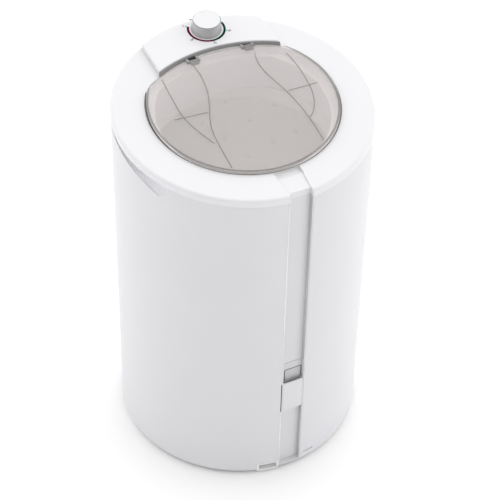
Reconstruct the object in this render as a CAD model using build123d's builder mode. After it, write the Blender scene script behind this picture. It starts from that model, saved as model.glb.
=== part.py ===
from build123d import *

import os
from math import atan2, cos, degrees, radians, sin, sqrt

# Household spin dryer, in millimetres.
# The origin is on the floor under the middle of the casing, +Z is up, the seam channel faces -Y
# and the control panel is at +Y.

# Casing
body_radius = 220.0
sheet = 1.0
body_foot = 13.0
top_height = 692.2
top_slope_angle = 4.65

# Fits and cuts
seat_gap = 0.3
running_gap = 0.05
over = 2.0

# Top cover
band_height = 13.5
band_proud = 0.6
cover_wall = 3.0
shoulder = 5.0
rim_width = 60.0
ledge_width = 13.5
recess_radius = body_radius - rim_width
recess_depth = 15.0
throat_radius = recess_radius - ledge_width
tongue_drop = 20.0
tongue_wall = 2.0

# Lid, hinge strip and panel
lid_overlap = 3.5
lid_radius = recess_radius + lid_overlap
lid_wall = 2.5
lid_rise = 9.5
lid_chord = 38.0
hinge_reach = recess_radius - lid_chord
hinge_rise = 5.5
strip_centre = 105.7
strip_shift = 3.0
strip_margin = 12.4
strip_width = 4.6
strip_front = strip_centre + hinge_reach + strip_margin
strip_rear = strip_front + strip_width
panel_half = body_radius / 2
panel_shift = 9.0
panel_rise = 9.0

# Front channel
channel_width = 39.0
channel_depth = 9.3
channel_wall = 1.8

# Tub and basket
tub_clear = 16.0
tub_radius = body_radius - sheet - tub_clear
tub_wall = 3.0
tub_floor = 199.0
tub_drop = 64.2
tub_top = top_height - tub_drop
water_gap = 30.0
basket_radius = tub_radius - tub_wall - water_gap
basket_wall = 1.2
basket_lift = 33.0
basket_floor = tub_floor + basket_lift
basket_drop = 16.0
basket_top = tub_top - basket_drop
basket_clear = 8.0

# Drive
shaft_radius = 8.0
motor_radius = 62.0
plate_height = 54.0
plate_wall = 4.0
bounce_down = 6.0
bounce_up = 4.0

# The sloping top and what is measured from it
top_plane = Plane.XY.offset(top_height).rotated((top_slope_angle, 0, 0))
side_plane = Plane(origin=top_plane.origin, x_dir=top_plane.y_dir, z_dir=top_plane.x_dir)
top_axis = Axis(top_plane.origin, top_plane.z_dir)
slope_base = top_height / 2
slope_reach = top_height
cover_radius = body_radius + band_proud
band_inner = cover_radius - cover_wall
sheet_inner = body_radius - sheet
channel_floor = body_radius - channel_depth


def sloped(profile, low, high):
    """Upright prism of a plan sketch, cut off at two planes that slope like the top."""
    with BuildPart() as prism:
        extrude(profile.moved(Location((0, 0, slope_base))), amount=slope_reach)
        split(bisect_by=top_plane.offset(high), keep=Keep.BOTTOM)
        split(bisect_by=top_plane.offset(low), keep=Keep.TOP)
    return prism.part


def disc(radius, inner=0):
    """Plan sketch of a round disc or ring."""
    with BuildSketch() as ring:
        Circle(radius)
        if inner:
            Circle(inner, mode=Mode.SUBTRACT)
    return ring.sketch


def trimmed_disc(radius, arc_radius):
    """Plan sketch of a disc whose rear is cut off along an arc round the hinge strip's centre."""
    with BuildSketch() as trimmed:
        Circle(radius)
        with Locations((strip_shift, -strip_centre)):
            Circle(arc_radius, mode=Mode.INTERSECT)
    return trimmed.sketch


def finish(piece, label):
    """Names a piece and writes it to its own file."""
    piece.label = label
    export_step(piece, f"parts/{label}.step")


os.makedirs("parts", exist_ok=True)

# Base pan, a moulded floor that the sheet, tub and motor stand on
skirt_inset = 6.5
base_skirt_radius = body_radius - skirt_inset
base_skirt_low = 3.0
base_ledge = 2.0
base_wall = 2.5
base_floor = 19.0
base_upstand = 42.0
base_hub_radius = 40.0
base_rib_count = 12
base_rib_wall = 2.5
vent_count = 10
vent_reach = 62.0
vent_length = 22.0
vent_width = 6.0
foot_radius = 15.0
foot_height = 6.0
foot_inset = 33.5
foot_reach = base_skirt_radius - foot_inset
foot_boss_wall = 3.0
foot_stem_radius = 6.0
screw_height = 27.0
screw_radius = 2.0
screw_angles = (35.0, 75.0, 105.0, 145.0)
gland_height = 72.0
gland_angle = 70.0
mount_reach = 95.0
mount_radius = 17.0
mount_rim = 4.0
mount_rim_wall = 2.5
mount_angle = 90.0
spout_width = 37.0
spout_low = 7.5
spout_height = 17.0
spout_wall = 2.0
spout_angle = 10.85
spout_x = -body_radius * sin(radians(spout_angle))
spout_length = 70.0
spout_inner = body_radius - spout_length
upstand_radius = sheet_inner - seat_gap
ledge_low = body_foot - base_ledge
floor_low = base_floor - cover_wall
channel_half = channel_width / 2
channel_lip = 6.0
sheet_edge = channel_half + channel_wall + seat_gap
front_gap = 2 * (sheet_edge + sheet + seat_gap)
well_half = channel_half + channel_wall + channel_lip + seat_gap
well_rear = channel_floor - 2 * channel_wall - seat_gap


def side_seat(angle, height):
    """Plane through the middle axis, square to one direction, at one height."""
    turn = radians(angle)
    return Plane(origin=(0, 0, height), x_dir=(-sin(turn), cos(turn), 0), z_dir=(cos(turn), sin(turn), 0))


with BuildPart() as base_pan:
    with BuildSketch(Plane.XZ) as base_profile:
        with BuildLine():
            Polyline(
                (base_hub_radius, floor_low),
                (base_skirt_radius - base_wall, floor_low),
                (base_skirt_radius - base_wall, base_skirt_low),
                (base_skirt_radius, base_skirt_low),
                (base_skirt_radius, ledge_low),
                (body_radius, ledge_low),
                (body_radius, body_foot),
                (upstand_radius, body_foot),
                (upstand_radius, base_upstand),
                (upstand_radius - base_wall, base_upstand),
                (upstand_radius - base_wall, base_floor),
                (base_hub_radius, base_floor),
                close=True,
            )
        make_face()
    revolve(axis=Axis.Z)
    with BuildSketch(Plane.XY.offset(foot_height)):
        with PolarLocations(0, base_rib_count):
            with Locations(((base_hub_radius + base_skirt_radius) / 2, 0)):
                Rectangle(base_skirt_radius - base_hub_radius - base_wall, base_rib_wall)
        Circle(base_hub_radius + base_wall)
        Circle(base_hub_radius, mode=Mode.SUBTRACT)
    extrude(amount=floor_low - foot_height)
    with BuildSketch(Plane.XY.offset(foot_height)):
        with PolarLocations(foot_reach, 4, start_angle=45):
            Circle(foot_radius + foot_boss_wall)
    extrude(amount=floor_low - foot_height)
    with BuildSketch(Plane.XY.offset(foot_height)):
        with PolarLocations(foot_reach, 4, start_angle=45):
            Circle(foot_stem_radius)
    extrude(amount=base_floor, mode=Mode.SUBTRACT)
    with BuildSketch(Plane.XY.offset(base_floor)):
        with PolarLocations(mount_reach, 3, start_angle=mount_angle):
            Circle(mount_radius + mount_rim_wall)
            Circle(mount_radius + seat_gap, mode=Mode.SUBTRACT)
    extrude(amount=mount_rim)
    with BuildSketch(Plane.XY.offset(foot_height)):
        with PolarLocations(vent_reach, vent_count, start_angle=mount_angle / vent_count):
            SlotOverall(vent_length, vent_width)
    extrude(amount=base_floor, mode=Mode.SUBTRACT)
    with BuildSketch(Plane.XY.offset(ledge_low)):
        with Locations((0, -well_rear + base_wall)):
            Rectangle(2 * (well_half + base_wall), body_radius - well_rear, align=(Align.CENTER, Align.MAX))
        Circle(upstand_radius, mode=Mode.INTERSECT)
    extrude(amount=base_floor - ledge_low)
    with BuildSketch(Plane.XY.offset(body_foot)):
        with Locations((0, -well_rear)):
            Rectangle(2 * well_half, body_radius - well_rear + over, align=(Align.CENTER, Align.MAX))
    extrude(amount=base_upstand, mode=Mode.SUBTRACT)
    with BuildSketch(Plane.XY.offset(spout_low - seat_gap)):
        with Locations((spout_x, -spout_inner)):
            Rectangle(
                spout_width + 2 * seat_gap,
                body_radius - spout_inner + over,
                align=(Align.CENTER, Align.MAX),
            )
    extrude(amount=base_upstand, mode=Mode.SUBTRACT)
    for screw_angle in screw_angles:
        with BuildSketch(side_seat(screw_angle, screw_height)):
            Circle(screw_radius)
        extrude(amount=body_radius, mode=Mode.SUBTRACT)
finish(base_pan.part, "base_pan")

# Rubber feet, a pad with a stem pushed up into each boss
with BuildPart() as rubber_feet:
    with BuildSketch():
        with PolarLocations(foot_reach, 4, start_angle=45):
            Circle(foot_radius)
    extrude(amount=foot_height)
    fillet(rubber_feet.faces().sort_by(Axis.Z)[0:4].edges(), base_wall / 2)
    with BuildSketch(Plane.XY.offset(foot_height)):
        with PolarLocations(foot_reach, 4, start_angle=45):
            Circle(foot_stem_radius - seat_gap)
    extrude(amount=floor_low - foot_height)
finish(rubber_feet.part, "rubber_feet")

# Hand slots, one shape cut through both sides below the cover's band
grip_front = 103.0
grip_lean = 20.0
grip_middle = 20.0
grip_rear = 100.0
grip_front_drop = 27.3
grip_middle_drop = 12.0
grip_rear_drop = 8.0
grip_corner = 3.0


def grip_outline(top):
    """Side view of the hand slot, up to one height below the sloping top."""
    with BuildSketch(side_plane) as slot:
        with BuildLine():
            lower = ThreePointArc(
                (-grip_front, -band_height - grip_front_drop),
                (-grip_middle, -band_height - grip_middle_drop),
                (grip_rear, -band_height - grip_rear_drop),
            )
            Polyline(
                lower @ 1,
                (grip_rear, top),
                (-grip_front - grip_lean, top),
                (-grip_front - grip_lean, -band_height),
                lower @ 0,
            )
        make_face()
        fillet(slot.vertices().sort_by(Axis.Y)[0], grip_corner)
    return slot.sketch


# Body shell, one rolled sheet whose two edges turn in beside the channel
flange_depth = channel_depth - channel_wall
tool_slot_x = 39.0
tool_slot_length = 20.0
tool_slot_width = 3.5
tool_slot_height = 24.5
gland_radius = 9.0
gland_seat = side_seat(gland_angle, gland_height)
flange_root = sqrt(sheet_inner**2 - sheet_edge**2)
with BuildSketch() as body_profile:
    Circle(body_radius)
    Circle(sheet_inner, mode=Mode.SUBTRACT)
    with Locations((0, -body_radius)):
        Rectangle(2 * sheet_edge, 2 * channel_depth, mode=Mode.SUBTRACT)
    with Locations((sheet_edge + sheet / 2, -flange_root), (-sheet_edge - sheet / 2, -flange_root)):
        Rectangle(sheet, flange_depth, align=(Align.CENTER, Align.MIN))
with BuildPart() as body_shell:
    extrude(body_profile.sketch.moved(Location((0, 0, body_foot))), amount=top_height)
    split(bisect_by=top_plane.offset(-band_height), keep=Keep.BOTTOM)
    extrude(grip_outline(-band_height + over), amount=body_radius + over, both=True, mode=Mode.SUBTRACT)
    with BuildSketch(Plane.XZ.offset(body_radius / 2)):
        with Locations((spout_x, body_foot)):
            Rectangle(
                spout_width + 2 * seat_gap,
                2 * (spout_low + spout_height + seat_gap - body_foot),
            )
        with Locations((tool_slot_x, tool_slot_height)):
            SlotOverall(tool_slot_length, tool_slot_width)
    extrude(amount=body_radius, mode=Mode.SUBTRACT)
    with BuildSketch(gland_seat):
        Circle(gland_radius)
    extrude(amount=body_radius + over, mode=Mode.SUBTRACT)
    for screw_angle in screw_angles:
        with BuildSketch(side_seat(screw_angle, screw_height)):
            Circle(screw_radius)
        extrude(amount=body_radius + over, mode=Mode.SUBTRACT)
finish(body_shell.part, "body_shell")

# Seam channel, a plastic trough that closes the gap between the sheet's two edges
with BuildSketch() as channel_profile:
    with Locations((0, -channel_floor)):
        Rectangle(channel_width + 2 * channel_wall, channel_wall, align=(Align.CENTER, Align.MIN))
    with Locations((0, -channel_floor + channel_wall)):
        Rectangle(
            channel_width + 2 * (channel_wall + channel_lip), channel_wall, align=(Align.CENTER, Align.MIN)
        )
    with Locations((-channel_half - channel_wall, -body_radius), (channel_half, -body_radius)):
        Rectangle(channel_wall, channel_depth + channel_wall, align=(Align.MIN, Align.MIN))
    Circle(body_radius, mode=Mode.INTERSECT)
with BuildPart() as seam_channel:
    extrude(channel_profile.sketch.moved(Location((0, 0, body_foot))), amount=top_height)
    split(bisect_by=top_plane.offset(-band_height), keep=Keep.BOTTOM)
    with BuildSketch(Plane.XY.offset(body_foot)):
        with Locations((-front_gap / 2 + seat_gap, -channel_floor)):
            Rectangle(2 * channel_lip, 2 * channel_depth, align=(Align.MAX, Align.CENTER))
    extrude(amount=spout_low + spout_height + seat_gap - body_foot, mode=Mode.SUBTRACT)
finish(seam_channel.part, "seam_channel")

# Channel clip, a bridge across the channel that stands flush with the sheet
clip_low = 160.0
clip_high = 231.0
clip_wall = 2.5
clip_round = 1.2
clip_half = channel_half - seat_gap
with BuildSketch() as clip_profile:
    Circle(body_radius)
    Circle(body_radius - clip_wall, mode=Mode.SUBTRACT)
    with Locations((0, -body_radius)):
        Rectangle(2 * clip_half, channel_depth, mode=Mode.INTERSECT)
    with Locations((-clip_half, -channel_floor), (clip_half - clip_wall, -channel_floor)):
        Rectangle(clip_wall, channel_depth - clip_wall / 2, align=(Align.MIN, Align.MAX))
    Circle(body_radius, mode=Mode.INTERSECT)
with BuildPart() as channel_clip:
    extrude(clip_profile.sketch.moved(Location((0, 0, clip_low))), amount=clip_high - clip_low)
    outer_faces = channel_clip.faces().sort_by(Axis.Y)[0]
    fillet(outer_faces.edges().filter_by(GeomType.CIRCLE), clip_round)
finish(channel_clip.part, "channel_clip")

# Rating plate, bare, stuck on the channel's floor above the clip
rating_high = 274.0
rating_wall = 0.8
rating_corner = 5.0
with BuildPart() as rating_plate:
    with BuildSketch(Plane.XZ.offset(channel_floor)) as plate_profile:
        with Locations((0, clip_high + seat_gap)):
            Rectangle(2 * clip_half, rating_high - clip_high, align=(Align.CENTER, Align.MIN))
        fillet(plate_profile.vertices().group_by(Axis.Y)[-1], rating_corner)
    extrude(amount=rating_wall)
finish(rating_plate.part, "rating_plate")

# Drain spout, a flat chute under the tub that empties through the notch at the front
pipe_radius = 13.0
pipe_wall = 2.0
pipe_stub = 16.0
pipe_y = -(spout_inner + pipe_radius + spout_wall)
spout_top = spout_low + spout_height
with BuildPart() as drain_spout:
    with BuildSketch(Plane.XZ.offset(spout_inner)):
        with Locations((spout_x, spout_low)):
            Rectangle(spout_width, spout_height, align=(Align.CENTER, Align.MIN))
    extrude(amount=body_radius - spout_inner)
    with BuildSketch(Plane.XY.offset(spout_low)):
        Circle(body_radius)
    extrude(amount=spout_height, mode=Mode.INTERSECT)
    with BuildSketch(Plane.XY.offset(spout_top)):
        with Locations((spout_x, pipe_y)):
            Circle(pipe_radius)
    extrude(amount=pipe_stub)
    with BuildSketch(Plane.XZ.offset(spout_inner + spout_wall)):
        with Locations((spout_x, spout_low + spout_wall)):
            Rectangle(
                spout_width - 2 * spout_wall,
                spout_height - 2 * spout_wall,
                align=(Align.CENTER, Align.MIN),
            )
    extrude(amount=body_radius, mode=Mode.SUBTRACT)
    with BuildSketch(Plane.XY.offset(spout_top + pipe_stub)):
        with Locations((spout_x, pipe_y)):
            Circle(pipe_radius - pipe_wall)
    extrude(amount=-pipe_stub - spout_wall, mode=Mode.SUBTRACT)
finish(drain_spout.part, "drain_spout")

# Tub, a moulded tank whose wall runs down as three legs on to the base pan
collar_radius = 48.0
collar_height = 15.0
outlet_drop = 26.0
arch_margin = 7.0
arch_width = tub_radius + arch_margin
arch_turn = 12.0
arch_top = 182.0
tub_inner = tub_radius - tub_wall
floor_under = tub_floor - tub_wall
tub_foot = base_floor
with BuildPart() as tub:
    with BuildSketch(Plane.XZ) as tub_profile:
        with BuildLine():
            Polyline(
                (collar_radius - tub_wall, floor_under),
                (tub_inner, floor_under),
                (tub_inner, tub_foot),
                (tub_radius, tub_foot),
                (tub_radius, tub_top),
                (tub_inner, tub_top),
                (tub_inner, tub_floor),
                (collar_radius, tub_floor),
                (collar_radius, tub_floor + collar_height),
                (collar_radius - tub_wall, tub_floor + collar_height),
                close=True,
            )
        make_face()
        fillet(
            tub_profile.vertices().group_by(Axis.Y)[2].sort_by(Axis.X)[-1],
            tub_wall,
        )
    revolve(axis=Axis.Z)
    for arch_number in range(3):
        with BuildSketch(Plane.XZ.rotated((0, 0, arch_turn + arch_number * 120))) as arch:
            with Locations((0, tub_foot)):
                Rectangle(arch_width, 2 * (arch_top - tub_foot))
            fillet(arch.vertices().group_by(Axis.Y)[-1], collar_radius)
        extrude(amount=tub_radius + over, mode=Mode.SUBTRACT)
    with BuildSketch(Plane.XY.offset(floor_under)):
        with Locations((spout_x, pipe_y)):
            Circle(pipe_radius)
    extrude(amount=-outlet_drop)
    with BuildSketch(Plane.XY.offset(tub_floor)):
        with Locations((spout_x, pipe_y)):
            Circle(pipe_radius - pipe_wall)
    extrude(amount=-outlet_drop - tub_wall, mode=Mode.SUBTRACT)
finish(tub.part, "tub")

# Drain hose, a plain sleeve from the tub's outlet down to the chute
hose_wall = 2.5
hose_bore = pipe_radius + seat_gap / 3
hose_high = floor_under - seat_gap
hose_low = spout_top + seat_gap
with BuildPart() as drain_hose:
    with BuildSketch(Plane.XY.offset(hose_low)):
        with Locations((spout_x, pipe_y)):
            Circle(hose_bore + hose_wall)
            Circle(hose_bore, mode=Mode.SUBTRACT)
    extrude(amount=hose_high - hose_low)
finish(drain_hose.part, "drain_hose")

# Hose clamps, a flat band round each end of the hose
clamp_width = 8.0
clamp_wall = 1.2
clamp_edge = 5.0
clamp_ear = 7.0
with BuildPart() as hose_clamps:
    for clamp_low in (hose_low + clamp_edge, hose_high - clamp_edge - clamp_width):
        with BuildSketch(Plane.XY.offset(clamp_low)):
            with Locations((spout_x, pipe_y)):
                Circle(hose_bore + hose_wall + clamp_wall)
                with Locations((0, hose_bore + hose_wall)):
                    Rectangle(clamp_ear / 2, clamp_ear, align=(Align.CENTER, Align.MIN))
                Circle(hose_bore + hose_wall, mode=Mode.SUBTRACT)
        extrude(amount=clamp_width)
finish(hose_clamps.part, "hose_clamps")

# Tub ring, the lid of the space between the tub and the cover's bowl
ring_wall = 3.0
ring_lip = 8.0
bowl_radius = recess_radius + cover_wall
bowl_overlap = 6.0
bowl_low = tub_top - bowl_overlap
ring_clear = 2.0
ring_inner = bowl_radius + ring_clear
with BuildPart() as tub_ring:
    with BuildSketch(Plane.XZ):
        with BuildLine():
            Polyline(
                (ring_inner, tub_top),
                (tub_radius + seat_gap, tub_top),
                (tub_radius + seat_gap, tub_top - ring_lip),
                (tub_radius + seat_gap + ring_wall, tub_top - ring_lip),
                (tub_radius + seat_gap + ring_wall, tub_top + ring_wall),
                (ring_inner + ring_wall, tub_top + ring_wall),
                (ring_inner + ring_wall, tub_top + ring_wall + ring_lip),
                (ring_inner, tub_top + ring_wall + ring_lip),
                close=True,
            )
        make_face()
    revolve(axis=Axis.Z)
finish(tub_ring.part, "tub_ring")

# Tub seal, a rubber ring on the tub ring's lip that wipes the cover's bowl
seal_height = 4.0
seal_low = tub_top + ring_wall + ring_lip
with BuildPart() as tub_seal:
    with BuildSketch(Plane.XZ):
        with BuildLine():
            Polyline(
                (bowl_radius + seat_gap, seal_low),
                (ring_inner + ring_wall + seat_gap, seal_low),
                (ring_inner + ring_wall, seal_low + seal_height),
                (bowl_radius + seat_gap, seal_low + seal_height),
                close=True,
            )
        make_face()
    revolve(axis=Axis.Z)
finish(tub_seal.part, "tub_seal")

# Top cover, a moulded ring with the lid's recess, the throat and the end of the front channel
bowl_arc = (strip_front + strip_rear) / 2
throat_arc = strip_front - band_height / 2
ledge_under = recess_depth + cover_wall
collar_low = basket_top + basket_clear
grip_length = grip_front + grip_lean + grip_rear
grip_centre = (grip_rear - grip_front - grip_lean) / 2
grip_margin = 8.0
groove_depth = 2.0
groove_mouth = 46.0
scoop_radius = 26.0
scoop_depth = 6.0
knob_x = 17.0
knob_setback = 47.0
knob_y = strip_rear - strip_centre + knob_setback
bush_radius = 5.0
tongue_radius = sheet_inner - seat_gap


def standing(profile, low_height, high):
    """Upright prism of a plan sketch, from a level height up to a plane that slopes like the top."""
    with BuildPart() as prism:
        extrude(profile.moved(Location((0, 0, low_height))), amount=slope_reach)
        split(bisect_by=top_plane.offset(high), keep=Keep.BOTTOM)
    return prism.part


def groove_outline(margin):
    """Plan sketch of the shallow channel across the top, wider towards the lid."""
    with BuildSketch() as groove:
        with BuildLine():
            Polyline(
                (channel_half + margin, -cover_radius - over),
                (channel_half + margin, -channel_floor),
                (groove_mouth / 2 + margin, -recess_radius + over),
                (-groove_mouth / 2 - margin, -recess_radius + over),
                (-channel_half - margin, -channel_floor),
                (-channel_half - margin, -cover_radius - over),
                close=True,
            )
        make_face()
    return groove.sketch


with BuildSketch() as tongue_profile:
    Circle(tongue_radius)
    Circle(tongue_radius - tongue_wall, mode=Mode.SUBTRACT)
    with Locations((0, grip_centre)):
        Rectangle(2 * body_radius, grip_length + 2 * grip_margin, mode=Mode.SUBTRACT)
    with Locations((0, -body_radius)):
        Rectangle(front_gap, body_radius / 2, mode=Mode.SUBTRACT)
with BuildSketch() as front_block:
    with Locations((0, -channel_floor + cover_wall)):
        Rectangle(channel_width + 2 * cover_wall, channel_depth * 2, align=(Align.CENTER, Align.MAX))
    Circle(cover_radius, mode=Mode.INTERSECT)
with BuildSketch() as front_cut:
    with Locations((0, -channel_floor)):
        Rectangle(channel_width, channel_depth * 2, align=(Align.CENTER, Align.MAX))
with BuildSketch() as patch_profile:
    add(groove_outline(cover_wall))
    Circle(band_inner, mode=Mode.INTERSECT)
timer_plane = Plane(
    origin=top_plane.from_local_coords(Vector(knob_x, knob_y, 0)),
    x_dir=top_plane.x_dir,
    z_dir=top_plane.z_dir,
)
with BuildPart() as top_cover:
    add(sloped(disc(cover_radius), -band_height, 0))
    fillet(top_cover.faces().sort_by(Axis.Z)[-1].edges(), shoulder)
    add(sloped(disc(band_inner), -band_height - over, -cover_wall), mode=Mode.SUBTRACT)
    add(sloped(front_block.sketch, -band_height, -cover_wall))
    add(sloped(patch_profile.sketch, -scoop_depth - cover_wall, -cover_wall))
    add(sloped(trimmed_disc(bowl_radius, bowl_arc + cover_wall), -ledge_under, -cover_wall))
    add(sloped(disc(bowl_radius), -ledge_under, -recess_depth))
    add(standing(disc(bowl_radius, recess_radius), bowl_low, -recess_depth))
    collar_plan = trimmed_disc(throat_radius + cover_wall, throat_arc + cover_wall)
    add(standing(collar_plan, collar_low, -recess_depth))
    add(sloped(tongue_profile.sketch, -band_height - tongue_drop, -cover_wall))
    add(sloped(trimmed_disc(recess_radius, bowl_arc), -recess_depth, over), mode=Mode.SUBTRACT)
    add(
        standing(trimmed_disc(throat_radius, throat_arc), collar_low - over, -recess_depth + over),
        mode=Mode.SUBTRACT,
    )
    add(sloped(front_cut.sketch, -band_height - over, over), mode=Mode.SUBTRACT)
    add(sloped(groove_outline(0), -groove_depth, over), mode=Mode.SUBTRACT)
    with BuildSketch(side_plane):
        with Locations((-bowl_radius, scoop_radius - scoop_depth)):
            Circle(scoop_radius)
    extrude(amount=groove_mouth / 2, both=True, mode=Mode.SUBTRACT)
    with BuildSketch(timer_plane):
        Circle(bush_radius + seat_gap)
    extrude(amount=-2 * cover_wall, both=True, mode=Mode.SUBTRACT)
finish(top_cover.part, "top_cover")

# Hand cups, one pocket behind each hand slot
cup_depth = 27.0
cup_wall = 2.0
cup_drop = 57.2
cup_floor = top_height - cup_drop
cup_outer = band_inner - seat_gap
cup_inner = cup_outer - cup_depth
cup_half = grip_length / 2 + grip_margin - seat_gap


def hand_cup(side, label):
    """A pocket that is open outwards, on one side of the casing."""
    with BuildSketch() as outside:
        Circle(cup_outer)
        Circle(cup_inner, mode=Mode.SUBTRACT)
        with Locations((side * body_radius / 2, grip_centre)):
            Rectangle(body_radius, 2 * cup_half, mode=Mode.INTERSECT)
    with BuildSketch() as inside:
        Circle(cup_outer + over)
        Circle(cup_inner + cup_wall, mode=Mode.SUBTRACT)
        with Locations((side * body_radius / 2, grip_centre)):
            Rectangle(body_radius, 2 * (cup_half - cup_wall), mode=Mode.INTERSECT)
    with BuildPart() as cup:
        add(standing(outside.sketch, cup_floor, -cover_wall - seat_gap))
        add(standing(inside.sketch, cup_floor + cup_wall, over), mode=Mode.SUBTRACT)
    finish(cup.part, label)


hand_cup(-1, "handle_cup_left")
hand_cup(1, "handle_cup_right")

# Control panel, a raised hollow block behind the hinge strip
panel_wall = 2.5
panel_rear = body_radius - shoulder
panel_round = 2.0
with BuildSketch() as panel_profile:
    with Locations((panel_shift, body_radius / 2)):
        Rectangle(2 * panel_half, body_radius)
    Circle(panel_rear, mode=Mode.INTERSECT)
    with Locations((strip_shift, -strip_centre)):
        Circle(strip_rear + seat_gap, mode=Mode.SUBTRACT)
with BuildPart() as control_panel:
    add(sloped(panel_profile.sketch, 0, panel_rise))
    fillet(control_panel.faces().sort_by(Axis.Z)[-1].edges(), panel_round)
    add(
        sloped(offset(panel_profile.sketch, amount=-panel_wall), -over, panel_rise - panel_wall),
        mode=Mode.SUBTRACT,
    )
    with BuildSketch(timer_plane):
        Circle(bush_radius + seat_gap)
    extrude(amount=2 * panel_rise, mode=Mode.SUBTRACT)
finish(control_panel.part, "control_panel")

# Hinge strip, a sloping grey cover along the panel's front with two pairs of ears
strip_overhang = 1.0
strip_half = panel_half + strip_overhang
strip_lip = 0.6
strip_flat = 1.0
strip_step = 0.5
strip_rise = panel_rise - strip_step
lug_left = -36.0
lug_right = 65.0
lug_half = 7.0
ear_wall = 4.0
ear_length = 14.0
knuckle_radius = 3.5
pin_radius = 1.5
ear_half = lug_half + seat_gap + ear_wall
strip_middle = Plane(
    origin=top_plane.from_local_coords(Vector(strip_shift, -strip_centre, 0)),
    x_dir=top_plane.y_dir,
    z_dir=top_plane.x_dir,
)
strip_axis = Axis(strip_middle.origin, top_plane.z_dir)
hinge_seat = (hinge_reach, hinge_rise)


def side_offset(distance):
    """The machine's middle plane, moved sideways along X."""
    return side_plane.offset(distance)


with BuildPart() as hinge_strip:
    with BuildSketch(strip_middle):
        with BuildLine():
            Polyline(
                (strip_front, 0),
                (strip_rear, 0),
                (strip_rear, strip_rise),
                (strip_rear - strip_flat, strip_rise),
                (strip_front, strip_lip),
                close=True,
            )
        make_face()
    revolve(axis=strip_axis)
    with BuildSketch(top_plane):
        with Locations((panel_shift, strip_rear / 2)):
            Rectangle(2 * strip_half, strip_rear)
    extrude(amount=2 * strip_rise, both=True, mode=Mode.INTERSECT)
    for lug_side in (lug_left, lug_right):
        with BuildSketch(side_offset(lug_side)):
            with Locations((hinge_reach, 0)):
                Rectangle(
                    knuckle_radius + 2 * seat_gap,
                    2 * strip_rise,
                    align=(Align.MIN, Align.CENTER),
                )
        extrude(amount=lug_half + seat_gap, both=True, mode=Mode.SUBTRACT)
        for ear_start in (-ear_half, lug_half + seat_gap):
            with BuildSketch(side_offset(lug_side + ear_start)):
                with Locations(hinge_seat):
                    Circle(knuckle_radius)
                with Locations((hinge_reach, strip_lip)):
                    Rectangle(ear_length, ear_wall, align=(Align.MIN, Align.MIN))
                make_hull()
                with Locations(hinge_seat):
                    Circle(pin_radius, mode=Mode.SUBTRACT)
            extrude(amount=ear_wall)
    with BuildSketch(top_plane):
        with Locations((strip_shift, -strip_centre)):
            Circle(strip_rear)
    extrude(amount=2 * strip_rise, both=True, mode=Mode.INTERSECT)
finish(hinge_strip.part, "hinge_strip")

# Hinge pins, one steel pin through each pair of ears
with BuildPart() as hinge_pins:
    for lug_side in (lug_left, lug_right):
        with BuildSketch(side_offset(lug_side)):
            with Locations(hinge_seat):
                Circle(pin_radius)
        extrude(amount=ear_half, both=True)
finish(hinge_pins.part, "hinge_pins")

# Lid, a shallow clear dome with a rolled edge and two hinge lugs
lid_edge_high = 1.5
lid_edge_inset = 6.5
lid_edge_rise = 5.5
lid_inner_rise = lid_edge_rise - lid_wall
hinge_gap = 2.0
notch_reach = hinge_reach - knuckle_radius - 2 * seat_gap
lug_root = 7.0
rib_width = 1.6
rib_height = 0.7
# The ribs' courses in shares of the lid's radius
rib_shares = (
    (
        (-0.251, 0.673), (-0.248, 0.489), (-0.281, 0.275), (-0.373, 0.012),
        (-0.453, -0.196), (-0.489, -0.428), (-0.502, -0.801),
    ),
    ((0.422, 0.618), (0.388, 0.318), (0.440, 0.073), (0.489, -0.183), (0.511, -0.465), (0.508, -0.801)),
    ((0.728, 0.489), (0.746, 0.287), (0.734, 0.018), (0.691, -0.208), (0.599, -0.385), (0.523, -0.465)),
    (
        (-0.630, 0.612), (-0.642, 0.489), (-0.654, 0.275),
        (-0.661, 0.061), (-0.593, -0.257), (-0.526, -0.434),
    ),
    ((-0.404, -0.018), (-0.752, 0.018)),
    ((0.489, -0.037), (0.826, -0.031)),
)
with BuildPart() as lid_ribs:
    with BuildSketch(top_plane):
        for rib_course in rib_shares:
            with BuildLine():
                Spline(*((lid_radius * across, lid_radius * along) for across, along in rib_course))
            trace(line_width=rib_width)
    extrude(amount=2 * lid_rise)
    with BuildSketch(side_plane):
        with BuildLine():
            rib_crown = TangentArc(
                (0, lid_rise + rib_height),
                (lid_radius - lid_edge_inset, lid_edge_rise + rib_height),
                tangent=(1, 0),
            )
            rib_under = TangentArc(
                (0, lid_rise - lid_wall / 2),
                (lid_radius - lid_edge_inset, lid_edge_rise - lid_wall / 2),
                tangent=(1, 0),
            )
            Line(rib_crown @ 0, rib_under @ 0)
            Line(rib_crown @ 1, rib_under @ 1)
        make_face()
    revolve(axis=top_axis, mode=Mode.INTERSECT)
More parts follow.
